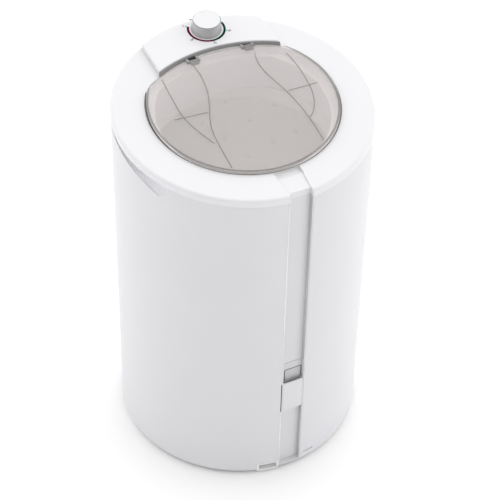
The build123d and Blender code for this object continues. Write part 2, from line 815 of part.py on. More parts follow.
with BuildPart() as lid:
    with BuildSketch(side_plane):
        with BuildLine():
            skirt = Line((lid_radius, seat_gap), (lid_radius, lid_edge_high))
            roll = TangentArc(skirt @ 1, (lid_radius - lid_edge_inset, lid_edge_rise), tangent=skirt % 1)
            crown = TangentArc((0, lid_rise), roll @ 1, tangent=(1, 0))
            under = TangentArc(
                (0, lid_rise - lid_wall), (lid_radius - lid_edge_inset, lid_inner_rise), tangent=(1, 0)
            )
            Line(crown @ 0, under @ 0)
            Polyline(under @ 1, (lid_radius - lid_wall, seat_gap), skirt @ 0)
        make_face()
    revolve(axis=top_axis)
    with BuildSketch(top_plane):
        with Locations((strip_shift, -strip_centre)):
            Circle(strip_front - hinge_gap)
    extrude(amount=2 * lid_rise, both=True, mode=Mode.INTERSECT)
    for lug_side in (lug_left, lug_right):
        with BuildSketch(side_offset(lug_side)):
            with Locations((notch_reach, 0)):
                Rectangle(2 * lug_root, 4 * lid_rise, align=(Align.MIN, Align.CENTER))
        extrude(amount=ear_half + seat_gap, both=True, mode=Mode.SUBTRACT)
        with BuildSketch(side_offset(lug_side)):
            with Locations(hinge_seat):
                Circle(knuckle_radius)
            with Locations((notch_reach - lug_root, hinge_rise + seat_gap)):
                Rectangle(lug_root, lid_wall, align=(Align.MIN, Align.MIN))
            make_hull()
        extrude(amount=lug_half, both=True)
        with BuildSketch(side_offset(lug_side)):
            with Locations(hinge_seat):
                Circle(pin_radius + running_gap)
        extrude(amount=lug_half, both=True, mode=Mode.SUBTRACT)
    add(lid_ribs.part)
finish(lid.part, "lid")

# Timer knob, its cap and the timer's shaft
knob_base = 26.8
knob_top = 24.2
knob_height = 20.5
knob_clear = 0.6
knob_wall = 2.5
knob_round = 0.4
cap_radius = 23.4
cap_sink = 1.5
cap_proud = 0.6
hub_radius = 6.0
timer_shaft_radius = 3.0
timer_shaft_flat = 1.0
timer_shaft_top = 16.0
timer_depth = 36.0
knob_plane = timer_plane.offset(panel_rise)
knob_side = Plane(origin=knob_plane.origin, x_dir=knob_plane.x_dir, z_dir=knob_plane.y_dir * -1)
knob_axis = Axis(knob_plane.origin, knob_plane.z_dir)
with BuildPart() as timer_knob:
    with BuildSketch(knob_side):
        with BuildLine():
            Polyline(
                (0, knob_height),
                (0, knob_height - cap_sink - knob_wall),
                (knob_top - knob_wall, knob_height - cap_sink - knob_wall),
                (knob_base - knob_wall, knob_clear),
                (knob_base, knob_clear),
                (knob_top, knob_height),
                close=True,
            )
        make_face()
    revolve(axis=knob_axis)
    with BuildSketch(knob_plane.offset(knob_clear)):
        Circle(hub_radius)
    extrude(amount=knob_height - cap_sink - knob_wall)
    fillet(timer_knob.edges().filter_by(GeomType.CIRCLE).group_by(Axis.Z)[-1], knob_round)
    with BuildSketch(knob_plane.offset(knob_height)):
        Circle(cap_radius)
    extrude(amount=-cap_sink, mode=Mode.SUBTRACT)
    with BuildSketch(knob_plane):
        Circle(timer_shaft_radius)
        with Locations((0, timer_shaft_radius - timer_shaft_flat)):
            Rectangle(
                2 * timer_shaft_radius,
                timer_shaft_radius,
                align=(Align.CENTER, Align.MIN),
                mode=Mode.SUBTRACT,
            )
    extrude(amount=timer_shaft_top, mode=Mode.SUBTRACT)
finish(timer_knob.part, "timer_knob")

with BuildPart() as knob_cap:
    with BuildSketch(knob_plane.offset(knob_height - cap_sink)):
        Circle(cap_radius)
    extrude(amount=cap_sink + cap_proud)
    fillet(knob_cap.faces().sort_by(Axis.Z)[-1].edges(), knob_round)
finish(knob_cap.part, "knob_cap")

with BuildPart() as timer_shaft:
    with BuildSketch(timer_plane.offset(-timer_depth / 2)):
        Circle(timer_shaft_radius)
    extrude(amount=timer_depth / 2 + panel_rise)
    with BuildSketch(knob_plane):
        Circle(timer_shaft_radius)
        with Locations((0, timer_shaft_radius - timer_shaft_flat)):
            Rectangle(
                2 * timer_shaft_radius,
                timer_shaft_radius,
                align=(Align.CENTER, Align.MIN),
                mode=Mode.SUBTRACT,
            )
    extrude(amount=timer_shaft_top)
finish(timer_shaft.part, "timer_shaft")

# Timer, a wind-up switch under the cover, held by a nut on its bush
timer_width = 44.0
timer_length = 34.0
timer_round = 3.0
bush_rise = 4.0
nut_height = 2.5
nut_across = 14.0
with BuildPart() as timer_body:
    with BuildSketch(timer_plane.offset(-cover_wall)) as timer_outline:
        Rectangle(timer_width, timer_length)
        fillet(timer_outline.vertices(), timer_round)
    extrude(amount=-timer_depth)
    with BuildSketch(timer_plane.offset(-cover_wall)):
        Circle(bush_radius)
    extrude(amount=cover_wall + bush_rise)
    with BuildSketch(timer_plane.offset(bush_rise)):
        Circle(timer_shaft_radius + running_gap)
    extrude(amount=-bush_rise - timer_depth / 2 - seat_gap, mode=Mode.SUBTRACT)
finish(timer_body.part, "timer_body")

with BuildPart() as timer_nut:
    with BuildSketch(timer_plane):
        RegularPolygon(nut_across / 2, 6, major_radius=False)
        Circle(bush_radius, mode=Mode.SUBTRACT)
    extrude(amount=nut_height)
finish(timer_nut.part, "timer_nut")

# Basket, a spun sheet drum with a conical floor, a rolled lip and rows of drain holes
floor_flat = 62.0
floor_dip = 17.0
dip_margin = 22.0
dip_radius = basket_radius - dip_margin
basket_corner = 18.0
lip_width = 5.0
hole_radius = 4.0
hole_rows = 8
hole_columns = 12
hole_lift = 30.0
hole_drop = 50.0
hole_low = basket_floor + hole_lift
hole_high = basket_top - hole_drop
basket_bore = shaft_radius + seat_gap
basket_under = basket_floor - basket_wall
with BuildPart() as basket:
    with BuildSketch(Plane.XZ) as basket_profile:
        with BuildLine():
            Polyline(
                (basket_bore, basket_under),
                (floor_flat, basket_under),
                (dip_radius, basket_under - floor_dip),
                (basket_radius, basket_under - floor_dip),
                (basket_radius, basket_top),
                (basket_radius - lip_width, basket_top),
                (basket_radius - lip_width, basket_top - basket_wall),
                (basket_radius - basket_wall, basket_top - basket_wall),
                (basket_radius - basket_wall, basket_floor - floor_dip),
                (dip_radius, basket_floor - floor_dip),
                (floor_flat, basket_floor),
                (basket_bore, basket_floor),
                close=True,
            )
        make_face()
        fillet(basket_profile.vertices().group_by(Axis.X)[-1].sort_by(Axis.Y)[0], basket_corner)
        fillet(basket_profile.vertices().group_by(Axis.X)[-2].sort_by(Axis.Y)[0], basket_corner - basket_wall)
    revolve(axis=Axis.Z)
    row_step = (hole_high - hole_low) / (hole_rows - 1)
    column_step = 360 / hole_columns
    for row in range(hole_rows):
        with Locations((0, 0, hole_low + row * row_step)):
            with PolarLocations(basket_radius, hole_columns, start_angle=(row % 2) * column_step / 2):
                with Locations(Location((0, 0, 0), (0, 90, 0))):
                    Cylinder(hole_radius, basket_corner, mode=Mode.SUBTRACT)
finish(basket.part, "basket")

# Balance ring, a closed hollow ring clipped under the basket's lip
balance_width = 16.0
balance_height = 30.0
balance_round = 4.0
with BuildPart() as balance_ring:
    with BuildSketch(Plane.XZ) as balance_profile:
        with Locations((basket_radius - basket_wall, basket_top - basket_wall)):
            Rectangle(balance_width, balance_height, align=(Align.MAX, Align.MAX))
        fillet(balance_profile.vertices().group_by(Axis.X)[0], balance_round)
        with Locations((basket_radius - basket_wall - balance_width / 2, basket_top - balance_height / 2)):
            Rectangle(balance_width / 2, balance_height / 2, mode=Mode.SUBTRACT)
    revolve(axis=Axis.Z)
finish(balance_ring.part, "balance_ring")

# Drum hub under the basket's floor, with its clamp plate, nut and cap
hub_flange = 58.0
hub_flange_wall = 3.0
hub_boss = 15.0
hub_height = 9.0
hub_rib_count = 6
hub_rib_wall = 4.0
hub_low = basket_under - hub_height
clamp_plate_wall = 3.0
clamp_plate_radius = 36.0
nut_size = 24.0
hub_nut_height = 10.0
shaft_end = 6.0
cap_outer = 44.0
cap_height = 26.0
cap_wall = 2.0
shaft_top = basket_floor + clamp_plate_wall + hub_nut_height + shaft_end
with BuildPart() as drum_hub:
    with BuildSketch(Plane.XY.offset(basket_under)):
        Circle(hub_flange)
    extrude(amount=-hub_flange_wall)
    with BuildSketch(Plane.XY.offset(hub_low)):
        Circle(hub_boss)
    extrude(amount=hub_height - hub_flange_wall)
    with BuildSketch(Plane.XZ) as rib_profile:
        with BuildLine():
            Polyline(
                (0, basket_under - hub_flange_wall),
                (hub_flange, basket_under - hub_flange_wall),
                (hub_boss, hub_low),
                (0, hub_low),
                close=True,
            )
        make_face()
    for rib_angle in range(0, 360, 360 // hub_rib_count):
        with BuildSketch(Plane.XZ.rotated((0, 0, rib_angle))):
            add(rib_profile.sketch.faces())
        extrude(amount=hub_rib_wall / 2, both=True)
    with BuildSketch(Plane.XY.offset(hub_low)):
        Circle(shaft_radius)
    extrude(amount=hub_height, mode=Mode.SUBTRACT)
finish(drum_hub.part, "drum_hub")

with BuildPart() as clamp_plate:
    with BuildSketch(Plane.XY.offset(basket_floor)):
        Circle(clamp_plate_radius)
        Circle(shaft_radius, mode=Mode.SUBTRACT)
    extrude(amount=clamp_plate_wall)
finish(clamp_plate.part, "clamp_plate")

with BuildPart() as hub_nut:
    with BuildSketch(Plane.XY.offset(basket_floor + clamp_plate_wall)):
        RegularPolygon(nut_size / 2, 6, major_radius=False)
        Circle(shaft_radius, mode=Mode.SUBTRACT)
    extrude(amount=hub_nut_height)
    chamfer(hub_nut.faces().sort_by(Axis.Z)[-1].outer_wire().edges(), sheet)
finish(hub_nut.part, "hub_nut")

with BuildPart() as hub_cap:
    with BuildSketch(Plane.XZ):
        with BuildLine():
            dome = TangentArc((0, basket_floor + cap_height), (cap_outer, basket_floor), tangent=(1, 0))
            inner_dome = TangentArc(
                (0, basket_floor + cap_height - cap_wall),
                (cap_outer - cap_wall, basket_floor),
                tangent=(1, 0),
            )
            Line(dome @ 0, inner_dome @ 0)
            Line(dome @ 1, inner_dome @ 1)
        make_face()
    revolve(axis=Axis.Z)
finish(hub_cap.part, "hub_cap")

# Motor, two bells round a stator on a three-armed plate
bell_height = 18.0
bell_wall = 3.0
stator_height = 50.0
stator_bore = 36.0
rotor_gap = 0.6
bearing_radius = 13.0
bearing_height = 8.0
bearing_wall = 2.5
bolt_reach = 66.0
bolt_radius = 2.5
bolt_head = 4.5
bolt_head_height = 3.0
bell_ear = 6.5
bell_ear_wall = 4.0
bolt_angle = 45.0
motor_low = plate_height + plate_wall
stator_low = motor_low + bell_height
stator_high = stator_low + stator_height
motor_high = stator_high + bell_height
shaft_clear = 1.0
shaft_hole = shaft_radius + shaft_clear


def bell(outer_face, direction, label):
    """A cast motor bell whose open side faces the stator."""
    inner_face = outer_face + direction * bell_wall
    mouth = outer_face + direction * bell_height
    seat_start = inner_face
    seat_end = inner_face + direction * bearing_height
    with BuildPart() as casting:
        with BuildSketch(Plane.XZ):
            with BuildLine():
                Polyline(
                    (shaft_hole, outer_face),
                    (motor_radius, outer_face),
                    (motor_radius, mouth),
                    (motor_radius - bell_wall, mouth),
                    (motor_radius - bell_wall, inner_face),
                    (bearing_radius + bearing_wall, inner_face),
                    (bearing_radius + bearing_wall, seat_end),
                    (bearing_radius, seat_end),
                    (bearing_radius, seat_start),
                    (shaft_hole, seat_start),
                    close=True,
                )
            make_face()
        revolve(axis=Axis.Z)
        with BuildSketch(Plane.XY.offset(outer_face)):
            with PolarLocations(bolt_reach, 4, start_angle=bolt_angle):
                Circle(bell_ear)
            Circle(motor_radius - bell_wall / 2, mode=Mode.SUBTRACT)
            with PolarLocations(bolt_reach, 4, start_angle=bolt_angle):
                Circle(bolt_radius, mode=Mode.SUBTRACT)
        extrude(amount=direction * bell_ear_wall)
    finish(casting.part, label)


bell(motor_low, 1, "lower_bell")
bell(motor_high, -1, "upper_bell")

for bearing_low, bearing_label in (
    (motor_low + bell_wall, "lower_bearing"),
    (motor_high - bell_wall - bearing_height, "upper_bearing"),
):
    with BuildPart() as bearing:
        with BuildSketch(Plane.XY.offset(bearing_low)):
            Circle(bearing_radius)
            Circle(shaft_radius + running_gap, mode=Mode.SUBTRACT)
        extrude(amount=bearing_height)
    finish(bearing.part, bearing_label)

stator_slots = 12
slot_depth = 12.0
slot_width = 5.0
with BuildPart() as stator_pack:
    with BuildSketch(Plane.XY.offset(stator_low)):
        Circle(motor_radius)
        Circle(stator_bore, mode=Mode.SUBTRACT)
        with PolarLocations(stator_bore, stator_slots):
            Rectangle(2 * slot_depth, slot_width, mode=Mode.SUBTRACT)
    extrude(amount=stator_height)
finish(stator_pack.part, "stator_pack")

coil_inner = 40.0
coil_outer = 56.0
coil_height = 11.0
coil_round = 4.0
with BuildPart() as motor_windings:
    with BuildSketch(Plane.XZ) as coil_profile:
        with Locations((coil_inner, stator_low - coil_height), (coil_inner, stator_high)):
            Rectangle(coil_outer - coil_inner, coil_height, align=(Align.MIN, Align.MIN))
        fillet(coil_profile.vertices(), coil_round)
    revolve(axis=Axis.Z)
finish(motor_windings.part, "motor_windings")

with BuildPart() as rotor:
    with BuildSketch(Plane.XY.offset(stator_low)):
        Circle(stator_bore - rotor_gap)
        Circle(shaft_radius, mode=Mode.SUBTRACT)
    extrude(amount=stator_height)
finish(rotor.part, "rotor")

# Long bolts, from under the plate through both bells
with BuildPart() as motor_bolts:
    for low, radius, height in (
        (plate_height - bolt_head_height, bolt_head, bolt_head_height),
        (plate_height, bolt_radius, motor_high - plate_height + bolt_head_height),
        (motor_high, bolt_head, bolt_head_height),
    ):
        with BuildSketch(Plane.XY.offset(low)):
            with PolarLocations(bolt_reach, 4, start_angle=bolt_angle):
                Circle(radius)
        extrude(amount=height)
finish(motor_bolts.part, "motor_bolts")

# Motor plate, pressed steel with one arm to each rubber mount and an ear for the brake's pivot
plate_disc = 76.0
arm_end = 20.0
mount_stud = 4.0
pivot_reach = 90.0
pivot_angle = 41.6
pivot_radius = 5.0
pivot_ear = 12.0
plate_hole = 25.0
with BuildPart() as motor_plate:
    with BuildSketch(Plane.XY.offset(plate_height)) as plate_outline:
        Circle(plate_disc)
        with PolarLocations(mount_reach, 3, start_angle=mount_angle):
            Circle(arm_end)
        with PolarLocations(mount_reach / 2, 3, start_angle=mount_angle):
            Rectangle(mount_reach, 2 * arm_end)
        with PolarLocations(pivot_reach, 1, start_angle=pivot_angle):
            Circle(pivot_ear)
        with PolarLocations(pivot_reach / 2, 1, start_angle=pivot_angle):
            Rectangle(pivot_reach, 2 * pivot_ear)
        Circle(plate_hole, mode=Mode.SUBTRACT)
        with PolarLocations(bolt_reach, 4, start_angle=bolt_angle):
            Circle(bolt_radius, mode=Mode.SUBTRACT)
        with PolarLocations(mount_reach, 3, start_angle=mount_angle):
            Circle(mount_stud, mode=Mode.SUBTRACT)
        with PolarLocations(pivot_reach, 1, start_angle=pivot_angle):
            Circle(pivot_radius, mode=Mode.SUBTRACT)
    extrude(amount=plate_wall)
finish(motor_plate.part, "motor_plate")

# Rubber mounts, ribbed barrels between the base pan and the motor plate
mount_waist = 12.0
mount_rib_count = 3
mount_span = plate_height - base_floor
mount_step = mount_span / mount_rib_count
for mount_number in range(3):
    mount_turn = radians(mount_angle + mount_number * 120)
    mount_seat = Plane.XZ.offset(-mount_reach * sin(mount_turn))
    mount_x = mount_reach * cos(mount_turn)
    mount_y = mount_reach * sin(mount_turn)
    with BuildPart() as mount:
        with BuildSketch(mount_seat) as mount_profile:
            with BuildLine():
                points = [(mount_x, base_floor), (mount_x + mount_radius, base_floor)]
                for rib in range(mount_rib_count):
                    rib_low = base_floor + rib * mount_step
                    points += [
                        (mount_x + mount_radius, rib_low + mount_step / 3),
                        (mount_x + mount_waist, rib_low + mount_step / 2),
                        (mount_x + mount_radius, rib_low + mount_step * 2 / 3),
                    ]
                points += [(mount_x + mount_radius, plate_height), (mount_x, plate_height)]
                Polyline(points, close=True)
            make_face()
        revolve(axis=Axis((mount_x, mount_y, 0), (0, 0, 1)))
    finish(mount.part, f"rubber_mount_{mount_number + 1}")

# Studs and nuts that hold the plate on the mounts
stud_nut = 14.0
stud_nut_height = 6.0
stud_end = 3.0
with BuildPart() as mount_studs:
    with BuildSketch(Plane.XY.offset(plate_height)):
        with PolarLocations(mount_reach, 3, start_angle=mount_angle):
            Circle(mount_stud)
    extrude(amount=plate_wall + stud_nut_height + stud_end)
    with BuildSketch(Plane.XY.offset(plate_height + plate_wall)):
        with PolarLocations(mount_reach, 3, start_angle=mount_angle):
            RegularPolygon(stud_nut / 2, 6, major_radius=False)
    extrude(amount=stud_nut_height)
finish(mount_studs.part, "mount_studs")

# Drive shaft, from the lower bearing up to the hub's nut
shaft_low = motor_low + bell_wall / 2
with BuildPart() as drive_shaft:
    with BuildSketch(Plane.XY.offset(shaft_low)):
        Circle(shaft_radius)
    extrude(amount=shaft_top - shaft_low)
    chamfer(drive_shaft.edges().filter_by(GeomType.CIRCLE), sheet)
finish(drive_shaft.part, "drive_shaft")

# Brake drum on the shaft between the motor and the tub
brake_radius = 56.0
brake_wall = 4.0
brake_height = 24.0
brake_boss = 16.0
brake_clear = 6.0
brake_low = motor_high + bolt_head_height + brake_clear
brake_high = brake_low + brake_height
with BuildPart() as brake_drum:
    with BuildSketch(Plane.XZ):
        with BuildLine():
            Polyline(
                (shaft_radius, brake_low),
                (brake_boss, brake_low),
                (brake_boss, brake_high - brake_wall),
                (brake_radius - brake_wall, brake_high - brake_wall),
                (brake_radius - brake_wall, brake_low),
                (brake_radius, brake_low),
                (brake_radius, brake_high),
                (shaft_radius, brake_high),
                close=True,
            )
        make_face()
    revolve(axis=Axis.Z)
finish(brake_drum.part, "brake_drum")

# Brake arm with its lining, on a post that stands on the motor plate
arm_wall = 5.0
shoe_gap = 3.0
shoe_wall = 5.0
shoe_height = 14.0
shoe_start = 7.6
shoe_end = 25.6
tail_angle = 111.6
arm_boss = 9.0
arm_bar = 9.0
cable_reach = 34.0
cable_hole = 3.0
arm_low = (brake_low + brake_high - arm_wall) / 2
shoe_radius = brake_radius + shoe_gap
shoe_low = arm_low - (shoe_height - arm_wall) / 2
pivot_x = pivot_reach * cos(radians(pivot_angle))
pivot_y = pivot_reach * sin(radians(pivot_angle))
shoe_middle = radians((shoe_start + shoe_end) / 2)
shoe_back = shoe_radius + shoe_wall
backing_x = (shoe_back + arm_bar / 2) * cos(shoe_middle)
backing_y = (shoe_back + arm_bar / 2) * sin(shoe_middle)
tail_x = pivot_x + cable_reach * cos(radians(tail_angle))
tail_y = pivot_y + cable_reach * sin(radians(tail_angle))
with BuildPart() as brake_pivot:
    with BuildSketch(Plane.XY.offset(plate_height)):
        with Locations((pivot_x, pivot_y)):
            Circle(pivot_radius)
    extrude(amount=arm_low + arm_wall + stud_end - plate_height)
finish(brake_pivot.part, "brake_pivot")

with BuildSketch() as shoe_profile:
    with BuildLine():
        inner_arc = CenterArc((0, 0), shoe_radius, shoe_start, shoe_end - shoe_start)
        outer_arc = CenterArc((0, 0), shoe_back, shoe_start, shoe_end - shoe_start)
        Line(inner_arc @ 0, outer_arc @ 0)
        Line(inner_arc @ 1, outer_arc @ 1)
    make_face()
with BuildPart() as brake_shoe:
    extrude(shoe_profile.sketch.moved(Location((0, 0, shoe_low))), amount=shoe_height)
finish(brake_shoe.part, "brake_shoe")

with BuildSketch() as arm_bar_profile:
    with Locations((pivot_x, pivot_y)):
        Circle(arm_boss)
    with Locations((backing_x, backing_y)):
        Circle(arm_bar)
    make_hull()
with BuildSketch() as arm_tail_profile:
    with Locations((pivot_x, pivot_y)):
        Circle(arm_boss)
    with Locations((tail_x, tail_y)):
        Circle(2 * cable_hole)
    make_hull()
with BuildPart() as brake_arm:
    with BuildSketch(Plane.XY.offset(arm_low)):
        add(arm_bar_profile.sketch)
        add(arm_tail_profile.sketch)
        with Locations((pivot_x, pivot_y)):
            Circle(pivot_radius + running_gap, mode=Mode.SUBTRACT)
        with Locations((tail_x, tail_y)):
            Circle(cable_hole, mode=Mode.SUBTRACT)
        Circle(shoe_back, mode=Mode.SUBTRACT)
    extrude(amount=arm_wall)
finish(brake_arm.part, "brake_arm")

# Brake spring, coiled round the post under the arm
spring_radius = 9.0
spring_wall = 2.0
spring_height = 22.0
with BuildPart() as brake_spring:
    with BuildSketch(Plane.XY.offset(arm_low - seat_gap - spring_height)):
        with Locations((pivot_x, pivot_y)):
            Circle(spring_radius)
            Circle(spring_radius - spring_wall, mode=Mode.SUBTRACT)
    extrude(amount=spring_height)
finish(brake_spring.part, "brake_spring")

# Shaft boot and its bush, which close the tub's middle round the turning shaft
boot_wall = 2.5
boot_rise = 5.0
bush_wall = 4.0
boot_drop = 3.0
boot_step = 1.0
boot_low = floor_under - boot_drop
boot_high = tub_floor + collar_height - boot_step
boot_outer = collar_radius - tub_wall - seat_gap / 3
bush_outer = shaft_radius + running_gap + bush_wall
boot_middle = (boot_outer + bush_outer) / 2
with BuildPart() as shaft_boot:
    with BuildSketch(Plane.XZ):
        with BuildLine():
            Polyline(
                (bush_outer, boot_low),
                (bush_outer + boot_wall, boot_low),
                (bush_outer + boot_wall, tub_floor),
                (boot_middle, tub_floor + boot_rise),
                (boot_outer - boot_wall, tub_floor),
                (boot_outer - boot_wall, boot_low),
                (boot_outer, boot_low),
                (boot_outer, boot_high),
                (boot_outer - boot_wall, boot_high),
                (boot_outer - boot_wall, tub_floor + boot_wall),
                (boot_middle, tub_floor + boot_rise + boot_wall),
                (bush_outer + boot_wall, tub_floor + boot_wall),
                (bush_outer + boot_wall, boot_high),
                (bush_outer, boot_high),
                close=True,
            )
        make_face()
    revolve(axis=Axis.Z)
finish(shaft_boot.part, "shaft_boot")

with BuildPart() as shaft_bush:
    with BuildSketch(Plane.XY.offset(boot_low)):
        Circle(bush_outer)
        Circle(shaft_radius + running_gap, mode=Mode.SUBTRACT)
    extrude(amount=boot_high - boot_low)
finish(shaft_bush.part, "shaft_bush")

# Motor capacitor in its strap, standing on the base pan
capacitor_inset = 73.0
capacitor_angle = 149.5
capacitor_reach = tub_radius - capacitor_inset
capacitor_x = capacitor_reach * cos(radians(capacitor_angle))
capacitor_y = capacitor_reach * sin(radians(capacitor_angle))
capacitor_radius = 18.0
capacitor_height = 62.0
strap_wall = 1.5
strap_width = 14.0
strap_foot = 22.0
with BuildPart() as capacitor:
    with BuildSketch(Plane.XY.offset(base_floor + strap_wall)):
        with Locations((capacitor_x, capacitor_y)):
            Circle(capacitor_radius)
    extrude(amount=capacitor_height)
    fillet(capacitor.faces().sort_by(Axis.Z)[-1].edges(), strap_wall)
finish(capacitor.part, "capacitor")

with BuildPart() as capacitor_strap:
    with BuildSketch(Plane.XY.offset(base_floor + strap_wall)):
        with Locations((capacitor_x, capacitor_y)):
            Circle(capacitor_radius + strap_wall)
            Circle(capacitor_radius, mode=Mode.SUBTRACT)
    extrude(amount=strap_width)
    with BuildSketch(Plane.XY.offset(base_floor)):
        with Locations((capacitor_x, capacitor_y)):
            Circle(strap_foot + strap_wall)
    extrude(amount=strap_wall)
finish(capacitor_strap.part, "capacitor_strap")

# Cord gland, a grommet in the back of the sheet where the supply lead comes in
gland_flange = 12.0
gland_flange_wall = 2.5
gland_inside = 14.0
gland_bore = 4.0
with BuildPart() as cord_gland:
    with BuildSketch(gland_seat.offset(body_radius)):
        Circle(gland_flange)
    extrude(amount=gland_flange_wall)
    with BuildSketch(gland_seat.offset(body_radius)):
        Circle(gland_radius)
    extrude(amount=-gland_inside)
    with BuildSketch(gland_seat.offset(body_radius + gland_flange_wall)):
        Circle(gland_bore)
    extrude(amount=-gland_inside - gland_flange_wall, mode=Mode.SUBTRACT)
finish(cord_gland.part, "cord_gland")

# Screws round the back that hold the sheet to the base pan
screw_head = 4.0
screw_head_height = 2.2
screw_reach = 6.0
with BuildPart() as casing_screws:
    for screw_angle in screw_angles:
        screw_seat = side_seat(screw_angle, screw_height)
        with BuildSketch(screw_seat.offset(body_radius)):
            Circle(screw_head)
        extrude(amount=screw_head_height)
        with BuildSketch(screw_seat.offset(body_radius - screw_reach)):
            Circle(screw_radius)
        extrude(amount=screw_reach)
finish(casing_screws.part, "casing_screws")

# Lid switch, a sealed box under the cover behind the recess
switch_inset = 35.6
switch_angle = 59.0
switch_reach = body_radius - switch_inset
switch_x = switch_reach * cos(radians(switch_angle))
switch_y = switch_reach * sin(radians(switch_angle))
switch_width = 32.0
switch_length = 22.0
switch_height = 28.0
switch_seat = Plane(
    origin=top_plane.from_local_coords(Vector(switch_x, switch_y, -cover_wall)),
    x_dir=top_plane.x_dir,
    z_dir=top_plane.z_dir,
)
with BuildPart() as lid_switch:
    with BuildSketch(switch_seat) as switch_outline:
        Rectangle(switch_width, switch_length)
        fillet(switch_outline.vertices(), timer_round)
    extrude(amount=-switch_height)
finish(lid_switch.part, "lid_switch")

# Brake cable, from the lid switch down between the tub and the sheet and in over the brake arm's tail
cable_radius = 2.5
cable_clear = 9.0
cable_lift_high = 26.0
cable_lift_low = 8.0
cable_track = tub_radius + cable_clear
cable_upper = tub_top + cable_lift_high
cable_lower = tub_top + cable_lift_low
cable_bend = 12.0
cable_rise = 2.0
cable_gap = 14.0
wire_radius = 0.9
wire_length = 11.0
cable_height = arm_low + arm_wall + cable_rise
cable_start = switch_seat.from_local_coords(Vector(0, 0, -switch_height - seat_gap))
cable_turn = atan2(cable_start.Y, cable_start.X)
cable_reach_high = sqrt(cable_start.X**2 + cable_start.Y**2)
tail_reach = sqrt(tail_x**2 + tail_y**2)
cable_plane = Plane(
    origin=(0, 0, 0),
    x_dir=(cos(cable_turn), sin(cable_turn), 0),
    z_dir=(sin(cable_turn), -cos(cable_turn), 0),
)
with BuildPart() as brake_cable:
    with BuildLine(cable_plane) as cable_path:
        FilletPolyline(
            (cable_reach_high, cable_start.Z),
            (cable_reach_high, cable_upper),
            (cable_track, cable_lower),
            (cable_track, cable_height),
            (tail_reach + cable_gap, cable_height),
            radius=cable_bend,
        )
    with BuildSketch(Plane(origin=cable_start, z_dir=(0, 0, -1))):
        Circle(cable_radius)
    sweep()
finish(brake_cable.part, "brake_cable")

# Cable end, a pin in the arm's tail with the first of the wire
with BuildPart() as cable_end:
    with BuildSketch(Plane.XY.offset(arm_low - cable_rise)):
        with Locations((tail_x, tail_y)):
            Circle(cable_hole)
    extrude(amount=arm_wall + 2 * cable_rise + cable_hole)
    with BuildSketch(side_seat(degrees(cable_turn), cable_height).offset(tail_reach)):
        Circle(wire_radius)
    extrude(amount=wire_length)
finish(cable_end.part, "cable_end")
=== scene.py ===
# %% [markdown]
# # A spin dryer, dressed for the camera
# The metal, plastic and rubber pieces come from the CAD model, already at their true places.
# This file gives them their finishes, adds the small printed and moulded details, and sets
# up the light and the camera. Every length is in metres, and the floor is at height zero.

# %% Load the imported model
import math
from functools import partial

import bpy
import bmesh
from mathutils import Matrix, Vector


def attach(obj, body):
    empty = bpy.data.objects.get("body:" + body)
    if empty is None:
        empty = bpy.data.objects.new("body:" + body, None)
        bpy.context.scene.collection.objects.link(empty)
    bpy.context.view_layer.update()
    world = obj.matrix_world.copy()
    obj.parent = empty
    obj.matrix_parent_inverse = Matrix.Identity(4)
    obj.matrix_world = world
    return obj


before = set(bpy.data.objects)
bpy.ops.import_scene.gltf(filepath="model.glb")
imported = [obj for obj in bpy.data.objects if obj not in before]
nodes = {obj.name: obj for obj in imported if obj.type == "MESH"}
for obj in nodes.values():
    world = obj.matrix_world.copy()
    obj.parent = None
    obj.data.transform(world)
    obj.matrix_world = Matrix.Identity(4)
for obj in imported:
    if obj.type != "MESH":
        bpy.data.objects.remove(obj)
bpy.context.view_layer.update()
scene = bpy.context.scene

# %% [markdown]
# ## The camera
# The photograph was taken with a long lens from above. A camera is a place, three turns and a
# focal length. The turns are put on in the order in which a photographer makes them: swing
# round, tip down, then level the horizon.

# %% Camera
LENS = 132.6
SENSOR_WIDTH = 36.0
NEAREST = 0.05
CAMERA_PLACE = (-1.0424, -2.1220, 2.6313)
CAMERA_SWING = math.radians(-26.573)
CAMERA_TIP = 0.7656
CAMERA_ROLL = 0.0247

camera_data = bpy.data.cameras.new("camera")
camera = bpy.data.objects.new("camera", camera_data)
scene.collection.objects.link(camera)
scene.camera = camera
camera_data.lens = LENS
camera_data.sensor_width = SENSOR_WIDTH
camera_data.clip_start = NEAREST
camera.matrix_world = (
    Matrix.Translation(CAMERA_PLACE)
    @ Matrix.Rotation(CAMERA_SWING, 4, "Z")
    @ Matrix.Rotation(math.pi / 2 - CAMERA_TIP, 4, "X")
    @ Matrix.Rotation(CAMERA_ROLL, 4, "Z")
)
print("camera stands", round(Vector(CAMERA_PLACE).length, 2), "m from the dryer's foot")

# %% [markdown]
# ## The floor
# The dryer was photographed on white paper. One flat face stands in for it, wide enough that no
# view shows its end. A mesh is only a list of corner points and a list of faces that name them,
# and the helper that turns the two lists into an object serves again for the printed details.

# %% Floor
FLOOR_HALF = 30.0


def link(thing):
    """Puts a new object into the scene and hands it back."""
    scene.collection.objects.link(thing)
    return thing


def mesh_piece(name, points, faces):
    """A mesh object from its corner points and the faces between them."""
    mesh = bpy.data.meshes.new(name)
    mesh.from_pydata([tuple(p) for p in points], [], faces)
    mesh.validate()
    mesh.update()
    return link(bpy.data.objects.new(name, mesh))


corner_signs = ((-1, -1), (1, -1), (1, 1), (-1, 1))
floor_corners = [(x * FLOOR_HALF, y * FLOOR_HALF, 0) for x, y in corner_signs]
floor = mesh_piece("floor", floor_corners, [(0, 1, 2, 3)])
print("floor", 2 * FLOOR_HALF, "m wide")

# %% [markdown]
# ## Sums in a node tree
# Light and finishes are node trees, and a tree works out a sum with one small node per step.
# Linking these by hand takes many lines. Three helpers keep it short: one fills a socket with a
# value or a link, one adds a sum, and one lays a colour over another where a mask says so.

